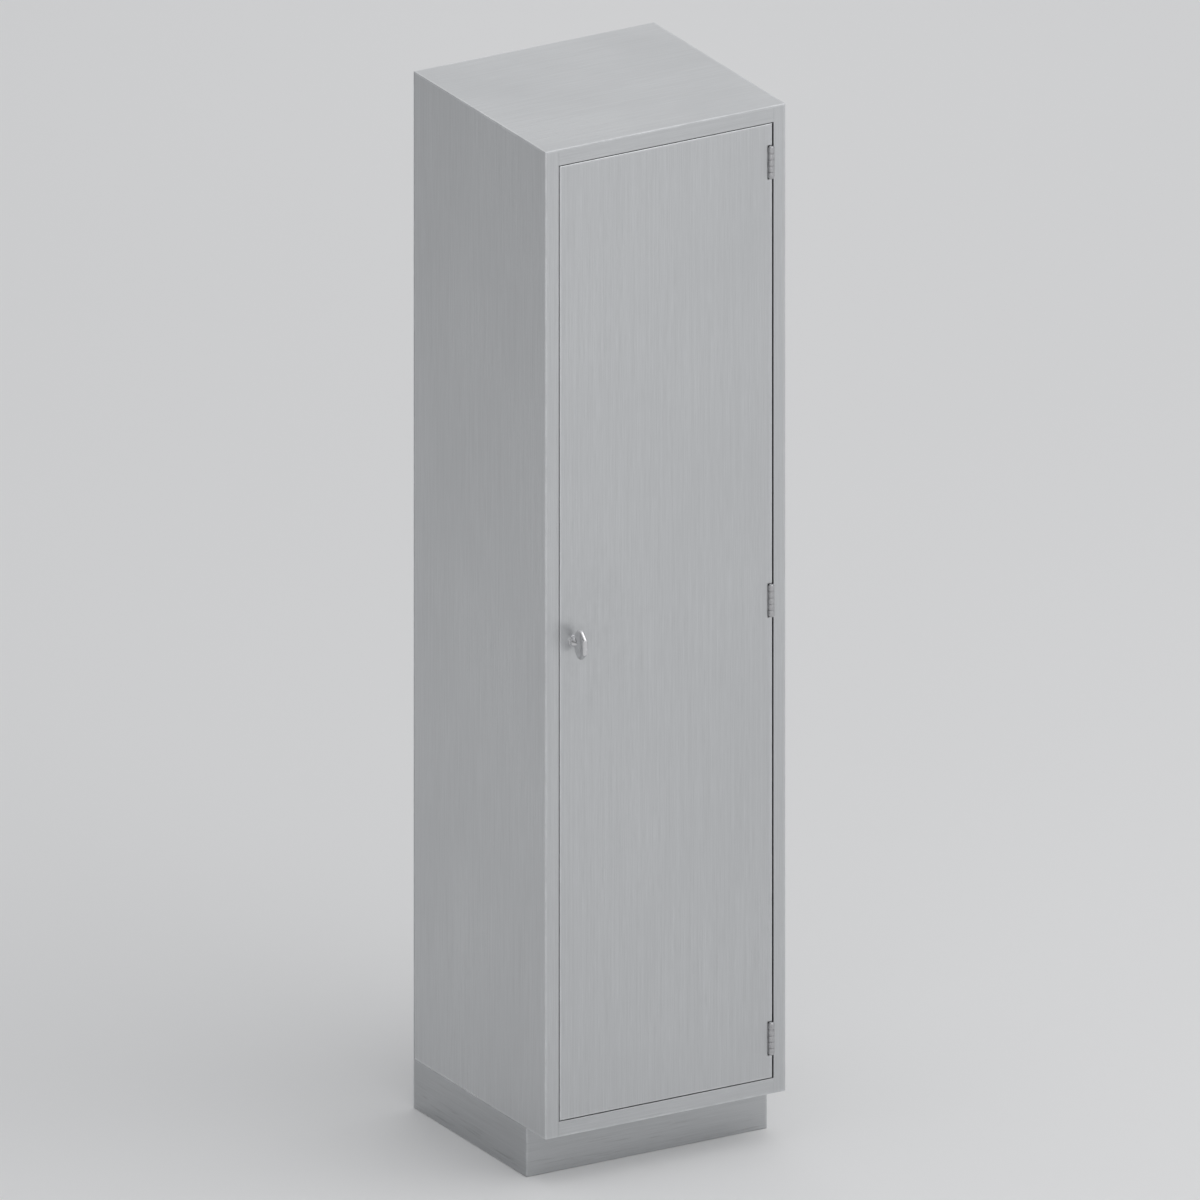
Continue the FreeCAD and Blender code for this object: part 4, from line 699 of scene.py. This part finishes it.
def hinge_leaves(sizes, end):
    """Two plates clear of the barrel, and sleeves in turn for each, tied to its plate by a tab."""
    x, y, _ = HINGE_AXIS
    low, high = corners_of(f"{end}_hinge_frame_leaf")
    (door_left, _, _), _ = corners_of(f"{end}_hinge_door_leaf")
    room = sizes.barrel_radius + sizes.knuckle_room
    bore = sizes.pin_radius + sizes.pin_play
    edge = sizes.edge
    inset = edge / 4
    face = high[0] - sizes.leaf_thickness
    clear_y = y + math.sqrt(room**2 - (face - x) ** 2)
    front = y + LEAF_OFFSET
    back = front + sizes.leaf_thickness
    clear_x = x - math.sqrt(room**2 - LEAF_OFFSET**2)
    on_frame = [rounded_block((face, clear_y, low[2]), high, edge)]
    on_door = [rounded_block((door_left, front, low[2]), (clear_x, back, high[2]), edge)]
    joints = np.linspace(low[2], high[2], sizes.knuckles + 1)[1:-1]
    bottoms = np.r_[low[2], joints + sizes.knuckle_gap / 2]
    tops = np.r_[joints - sizes.knuckle_gap / 2, high[2]]
    for index, (bottom, top) in enumerate(zip(bottoms, tops)):
        sleeve = ring(sizes.barrel_radius, bore, bottom, top, edge, (x, y, 0.0), "z")
        if index % 2:
            tab = ((clear_x - TAB_LAP, front + inset, bottom), (x - bore, back - inset, top))
            on_door += [sleeve, rounded_block(*tab, edge)]
        else:
            tab = ((face + inset, y, bottom), (high[0], clear_y + TAB_LAP, top))
            on_frame += [sleeve, rounded_block(*tab, edge)]
    return on_frame, on_door


def hinge_pin(sizes, low, high):
    """A shaft with a crowned tip at each end, each a quarter of an oval."""
    cosine, sine = quarter_arc(8)
    tip = sizes.tip_radius * sine**PIN_FULLNESS
    crown = sizes.tip_height * cosine
    radii = np.r_[tip, sizes.pin_radius, sizes.pin_radius, tip[::-1]]
    heights = np.r_[low - crown, low, high, high + crown[::-1]]
    return turned(radii, heights, HINGE_AXIS * (1.0, 1.0, 0.0), "z", columns=32)


def leaf_screws(sizes, low, high):
    """Two columns of two screws through a leaf into the stile's return."""
    face = high[0] - sizes.leaf_thickness
    rear = high[1] - sizes.screw_edge
    head = (sizes.screw_radius, sizes.screw_rise, LEAF_SCREW_SINK)
    screws = []
    for y in (rear, rear - sizes.screw_spacing):
        for z in (low[2] + sizes.screw_end, high[2] - sizes.screw_end):
            screws.append(cross_head((face, y, z), "x", -1.0, *head))
            screws.append(shank((face, y, z), "x", 1.0, LEAF_SCREW_SHANK, LEAF_SCREW_REACH))
    return screws


def grip(sizes):
    """An eight-cornered plate, the same above and below the spindle."""
    low, high = corners_of("turn_handle")
    tall = high[2] - HANDLE_AXIS[2]
    shoulder = sizes.grip_back + sizes.grip_slope
    upper = [
        (sizes.grip_back, tall - sizes.back_drop, sizes.corner_round),
        (shoulder, tall, sizes.shoulder_round),
        (shoulder + sizes.grip_band, tall, sizes.shoulder_round),
        (HANDLE_AXIS[1] - low[1], tall - sizes.front_drop, sizes.corner_round),
    ]
    lower = [(depth, -rise, radius) for depth, rise, radius in upper[::-1]]
    return rounded_plate(upper + lower, sizes.grip_thickness / 2, sizes.rim_round, HANDLE_AXIS)


def hub(sizes):
    """A short straight round that narrows evenly into the grip."""
    low, high = corners_of("turn_handle")
    radius = (high[0] - low[0]) / 2
    back = HANDLE_AXIS[1] - high[1]
    share = np.linspace(0.0, 1.0, 16)
    narrow = radius + (sizes.hub_tip - radius) * share
    taper = back + sizes.hub_length + sizes.hub_taper * share
    radii = np.r_[0.0, radius - HUB_EDGE, radius, narrow, 0.0]
    depths = np.r_[back, back, back + HUB_EDGE, taper, taper[-1]]
    return turned(radii, -depths, HANDLE_AXIS, "y", columns=64)


def rose(sizes):
    """A foot and a neck with rounded rims, round the spindle's hole."""
    front = HANDLE_AXIS[1] - corners_of("handle_rose")[0][1]
    foot, base, neck = sizes.rose_radius, sizes.rose_base, sizes.rose_neck
    edge, bore = sizes.rose_edge, sizes.rose_bore
    cosine, sine = quarter_arc()
    radii = np.r_[bore, foot, foot - edge + edge * cosine, neck, neck - edge + edge * cosine, bore]
    depths = np.r_[0.0, 0.0, base - edge + edge * sine, base, front - edge + edge * sine, front]
    return turned(radii, -depths, HANDLE_AXIS, "y", closed=True, columns=64)


def spindle_nut(columns=60):
    """A hexagon whose corners are cut off by a circle."""
    low, high = corners_of("spindle_nut")
    flat = (high[2] - low[2]) / 2
    corner = math.pi / 6
    hexagon = flat / np.cos(angles_round(columns) % (2.0 * corner) - corner)
    reach = np.minimum(hexagon, NUT_CORNER * flat)
    centre = HANDLE_AXIS * (1.0, 0.0, 1.0)
    return ring(reach, NUT_BORE, low[1], high[1], SMALL_EDGE, centre, "y", columns)


def latch_rod(sizes, node, way):
    """A bar with a bevelled inner end and a crowned working end."""
    centre, radius, low, high = upright_of(node)
    start, end = (low, high) if way > 0 else (high, low)
    cosine, sine = quarter_arc(7)
    radii = np.r_[0.0, radius - ROD_BEVEL, radius, radius - sizes.rod_tip * (1.0 - cosine), 0.0]
    heights = np.r_[start, start, start + way * ROD_BEVEL, end - way * sizes.rod_tip * (1.0 - sine), end]
    return turned(radii, heights, centre, "z", columns=32)


def guide_reach(half, front, behind, columns):
    """From a rod's middle out to its guide's skin: flat in front, between an oval and a square behind."""
    angle = angles_round(columns)
    cosine, sine = np.abs(np.cos(angle)), np.sin(angle)
    flat = np.minimum(front / np.maximum(-sine, NEARLY_ZERO), half / np.maximum(cosine, NEARLY_ZERO))
    oval = 1.0 / np.sqrt((cosine / half) ** 2 + (sine / behind) ** 2)
    square = 1.0 / ((cosine / half) ** 4 + (sine / behind) ** 4) ** 0.25
    return np.where(sine < 0.0, flat, (square + oval) / 2)


def rod_guides(sizes, columns=64):
    """Each guide is a loop round its rod on a plate with two ears, each with a screw."""
    low, high = corners_of("rod_guides")
    half, tall = sizes.guide_half_width, sizes.guide_half_height
    ends = tall + sizes.guide_ear
    rod_y = upright_of("top_rod")[0][1]
    seat = low[1] + sizes.guide_base
    reach = guide_reach(half, rod_y - low[1], high[1] - rod_y, columns)
    left, right, handle_z = low[0] + half, high[0] - half, HANDLE_AXIS[2]
    spots = (
        (left, low[2] + ends), (left, handle_z - sizes.guide_near),
        (right, high[2] - ends), (right, handle_z + sizes.guide_near),
    )
    loops, screws = [], []
    for x, z in spots:
        sleeve = (z - tall, z + tall, sizes.guide_edge, (x, rod_y, 0.0), "z", columns)
        loops.append(ring(reach, sizes.guide_bore, *sleeve))
        for way in (-1.0, 1.0):
            bottom, top = sorted((z + way * (tall - EAR_LAP), z + way * ends))
            loops.append(rounded_block((x - half, low[1], bottom), (x + half, seat, top), SMALL_EDGE))
            screws += round_screw(sizes, (x, seat, z + way * (tall + sizes.guide_ear / 2)))
    return loops, screws


def latch_screws(sizes):
    """One screw in each ear of the latch case."""
    low, high = corners_of("latch_screws")
    screws = []
    for z in (low[2] + sizes.screw_radius, high[2] - sizes.screw_radius):
        screws += round_screw(sizes, (HANDLE_AXIS[0], high[1] - sizes.screw_height, z))
    return screws


def round_screw(sizes, seat):
    """A domed head behind its seat and a shank into the door."""
    skirt = sizes.screw_height * SCREW_SKIRT
    centre = (seat[0], seat[1] + skirt, seat[2])
    head = cross_head(centre, "y", 1.0, sizes.screw_radius, sizes.screw_height - skirt, skirt)
    return [head, shank(seat, "y", -1.0, sizes.shank_radius, sizes.screw_reach)]


# Stage
def lay_floor(sizes):
    """A square just under the cabinet, with faint clouds in its colour."""
    half = sizes.floor_size / 2
    corners = [(x * half, y * half, -FLOOR_DROP) for x, y in ((-1, -1), (1, -1), (1, 1), (-1, 1))]
    mesh = bpy.data.meshes.new("studio_floor")
    mesh.from_pydata(corners, [], [(0, 1, 2, 3)])
    mesh.materials.append(bpy.data.materials.new("floor_pale"))
    nodes = Nodes(mesh.materials[0])
    clouds = nodes.noise((0.4, 0.4, 0.4), detail=2.0)
    paint = nodes.mix(clouds, shade(sizes.floor_colour, 0.99), shade(sizes.floor_colour, 1.01))
    nodes.feed(nodes.shader, {"Base Color": paint, "Roughness": 0.9, "Specular IOR Level": 0.0})
    add_object("studio_floor", mesh)


def hang_softboxes():
    """Large square lights that face the cabinet."""
    for name, place, size, power in SOFTBOXES:
        lamp = bpy.data.lights.new(name, "AREA")
        lamp.shape = "SQUARE"
        lamp.size = size
        lamp.energy = power
        holder = add_object(name, lamp)
        holder.location = place
        holder.rotation_euler = (LIGHT_TARGET - Vector(place)).to_track_quat("-Z", "Y").to_euler()


def light_surroundings(sizes):
    """Plain light all round that grows with height."""
    world = bpy.data.worlds.new("plain_surroundings")
    nodes = Nodes(world, "Background", "Generated")
    strength = nodes.spread(nodes.axis("Z"), 0.0, 1.0, sizes.horizon_light, sizes.zenith_light)
    nodes.feed(nodes.shader, {"Color": (*sizes.sky_colour, 1.0), "Strength": strength})
    bpy.context.scene.world = world


def aim_camera(sizes):
    """A parallel view, aimed by distances across and up it from the origin."""
    azimuth, elevation = sizes.azimuth, sizes.elevation
    level = math.cos(elevation)
    right = Vector((math.cos(azimuth), math.sin(azimuth), 0.0))
    away = Vector((-math.sin(azimuth) * level, math.cos(azimuth) * level, -math.sin(elevation)))
    up = right.cross(away)
    lens = bpy.data.cameras.new("picture_camera")
    lens.type = "ORTHO"
    lens.ortho_scale = sizes.view_width
    holder = add_object("picture_camera", lens)
    spot = right * sizes.shift_right + up * sizes.shift_up - away * sizes.camera_distance
    holder.matrix_world = Matrix.Translation(spot) @ Matrix((right, up, -away)).transposed().to_4x4()
    bpy.context.scene.camera = holder


# Operators
class CABINET_OT_stage(bpy.types.Operator):
    """Set the pale floor, the soft lights and the camera"""

    bl_idname = "cabinet.stage"
    bl_label = "Stage"

    def execute(self, context):
        sizes = context.scene.cabinet_stage
        lay_floor(sizes)
        hang_softboxes()
        light_surroundings(sizes)
        aim_camera(sizes)
        context.scene.view_settings.view_transform = "Standard"
        return {"FINISHED"}


class CABINET_OT_case(bpy.types.Operator):
    """Brush the outside of the case along its sheets"""

    bl_idname = "cabinet.case"
    bl_label = "Case sheets"

    def execute(self, context):
        dress("case_upright", "left_side_panel", "right_side_panel", "back_panel")
        dress("case_across", "top_panel")
        dress("rail_across", "header_rail", "sill_rail")
        return {"FINISHED"}


class CABINET_OT_inside(bpy.types.Operator):
    """Finish the floor of the case, the shelves and what holds them"""

    bl_idname = "cabinet.inside"
    bl_label = "Shelves and inside"

    def execute(self, context):
        dress("inside_across", "bottom_panel", "shelf_1", "shelf_2", "shelf_3", "shelf_4", "shelf_5")
        for side in ("left", "right"):
            dress("inside_upright", f"shelf_standard_{side}_front", f"shelf_standard_{side}_rear")
        dress("zinc_plate", "shelf_clips")
        return {"FINISHED"}


class CABINET_OT_plinth(bpy.types.Operator):
    """Finish the scuffed plinth and its corner plates"""

    bl_idname = "cabinet.plinth"
    bl_label = "Plinth"

    def execute(self, context):
        dress("plinth_across", "toe_kick", "plinth_rear")
        dress("plinth_along", "plinth_left", "plinth_right")
        dress("zinc_plate", "corner_gussets")
        return {"FINISHED"}


class CABINET_OT_levellers(bpy.types.Operator):
    """Thread the levellers and round their feet"""

    bl_idname = "cabinet.levellers"
    bl_label = "Levellers"

    def execute(self, context):
        for corner in CORNERS:
            node = f"leveller_{corner}"
            shells = leveller(context.scene.cabinet_feet, node)
            add_piece(f"{node}_screw_foot", shells, node, "zinc_plate", node)
        return {"FINISHED"}


class CABINET_OT_plugs_and_bumpers(bpy.types.Operator):
    """Snap domed plugs into the leveller holes and soft bumpers onto the door's stop"""

    bl_idname = "cabinet.plugs_and_bumpers"
    bl_label = "Plugs and bumpers"

    def execute(self, context):
        plugs = [plug(context.scene.cabinet_feet, corner) for corner in CORNERS]
        add_piece("leveller_hole_plugs", plugs, "cabinet", "plug_plastic", "access_plugs")
        add_piece("soft_door_bumpers", bumpers(), "cabinet", "bumper_rubber", "door_bumpers")
        return {"FINISHED"}


class CABINET_OT_door(bpy.types.Operator):
    """Finish the door's pans and what they hold between them"""

    bl_idname = "cabinet.door"
    bl_label = "Door"

    def execute(self, context):
        dress("door_outside", "door_outer_pan")
        dress("inside_upright", "door_inner_pan")
        dress("latch_plain", "door_hinge_channel")
        dress("zinc_plate", "hinge_door_screws")
        dress("honeycomb_board", "door_core")
        return {"FINISHED"}


class CABINET_OT_hinges(bpy.types.Operator):
    """Roll the hinge knuckles, crown their pins and set the leaf screws"""

    bl_idname = "cabinet.hinges"
    bl_label = "Hinges"

    def execute(self, context):
        sizes = context.scene.cabinet_hinges
        frame_nodes = [f"{end}_hinge_frame_leaf" for end in HINGE_ENDS]
        door_nodes = [f"{end}_hinge_door_leaf" for end in HINGE_ENDS]
        frame_leaves, door_leaves, pins, screws = [], [], [], []
        for end, node in zip(HINGE_ENDS, frame_nodes):
            on_frame, on_door = hinge_leaves(sizes, end)
            frame_leaves += on_frame
            door_leaves += on_door
            low, high = corners_of(node)
            pins.append(hinge_pin(sizes, low[2], high[2]))
            screws += leaf_screws(sizes, low, high)
        add_piece("hinge_frame_leaves", frame_leaves, "cabinet", "hinge_satin", *frame_nodes)
        add_piece("hinge_door_leaves", door_leaves, "door", "hinge_satin", *door_nodes)
        add_piece("crowned_hinge_pins", pins, "cabinet", "hinge_satin", "hinge_pins")
        add_piece("hinge_leaf_screws", screws, "cabinet", "hinge_satin", "hinge_frame_screws")
        return {"FINISHED"}


class CABINET_OT_turn_handle(bpy.types.Operator):
    """Shape the thumb turn's plate, its hub and the rose under it"""

    bl_idname = "cabinet.turn_handle"
    bl_label = "Turn handle"

    def execute(self, context):
        sizes = context.scene.cabinet_handle
        add_piece("thumb_turn", [grip(sizes), hub(sizes)], "handle", "handle_polish", "turn_handle")
        add_piece("turned_handle_rose", [rose(sizes)], "door", "handle_polish", "handle_rose")
        dress("latch_plain", "spindle")
        dress("bush_bronze", "handle_bush")
        return {"FINISHED"}


class CABINET_OT_latch(bpy.types.Operator):
    """Fit the rods, guides, nut and screws of the three-point latch"""

    bl_idname = "cabinet.latch"
    bl_label = "Latch"

    def execute(self, context):
        sizes = context.scene.cabinet_latch
        dress("latch_plain", "latch_case", "latch_cover", "centre_cam", "pinion", "top_rack", "bottom_rack")
        for end, way in (("top", 1.0), ("bottom", -1.0)):
            node = f"{end}_rod"
            bar = latch_rod(sizes, node, way)
            add_piece(f"round_{node}", [bar], f"{end}_latch_rod", "latch_plain", node)
        loops, screws = rod_guides(sizes)
        add_piece("moulded_rod_guides", loops, "door", "guide_nylon", "rod_guides")
        add_piece("guide_screws", screws, "door", "zinc_plate", "rod_guide_screws")
        add_piece("latch_case_screws", latch_screws(sizes), "door", "zinc_plate", "latch_screws")
        add_piece("hex_spindle_nut", [spindle_nut()], "handle", "zinc_plate", "spindle_nut")
        return {"FINISHED"}


class CABINET_PT_panel(bpy.types.Panel):
    """Lists the cabinet's pieces and their sizes"""

    bl_idname = "CABINET_PT_panel"
    bl_label = "Stainless Steel Cabinet"
    bl_space_type = "VIEW_3D"
    bl_region_type = "UI"
    bl_category = "Cabinet"

    def draw(self, context):
        column = self.layout.column(align=True)
        for piece in PIECES:
            column.operator(piece.bl_idname)
        for group, name in GROUPS.items():
            self.layout.label(text=group.__doc__)
            for key in group.__annotations__:
                self.layout.prop(getattr(context.scene, name), key)


GROUPS = {
    CabinetFinishes: "cabinet_finishes",
    CabinetHinges: "cabinet_hinges",
    CabinetHandle: "cabinet_handle",
    CabinetLatch: "cabinet_latch",
    CabinetFeet: "cabinet_feet",
    CabinetStage: "cabinet_stage",
}
PIECES = (
    CABINET_OT_stage,
    CABINET_OT_case,
    CABINET_OT_inside,
    CABINET_OT_plinth,
    CABINET_OT_levellers,
    CABINET_OT_plugs_and_bumpers,
    CABINET_OT_door,
    CABINET_OT_hinges,
    CABINET_OT_turn_handle,
    CABINET_OT_latch,
)
CLASSES = (*GROUPS, *PIECES, CABINET_PT_panel)


def register():
    """Add the settings, operators and panel."""
    for kind in CLASSES:
        bpy.utils.register_class(kind)
    for group, name in GROUPS.items():
        setattr(bpy.types.Scene, name, PointerProperty(type=group))


def unregister():
    """Undo register."""
    for name in GROUPS.values():
        delattr(bpy.types.Scene, name)
    for kind in reversed(CLASSES):
        bpy.utils.unregister_class(kind)


def main():
    """Make every piece in order."""
    register()
    for piece in PIECES:
        group, name = piece.bl_idname.split(".")
        getattr(getattr(bpy.ops, group), name)()


if __name__ == "__main__":
    main()
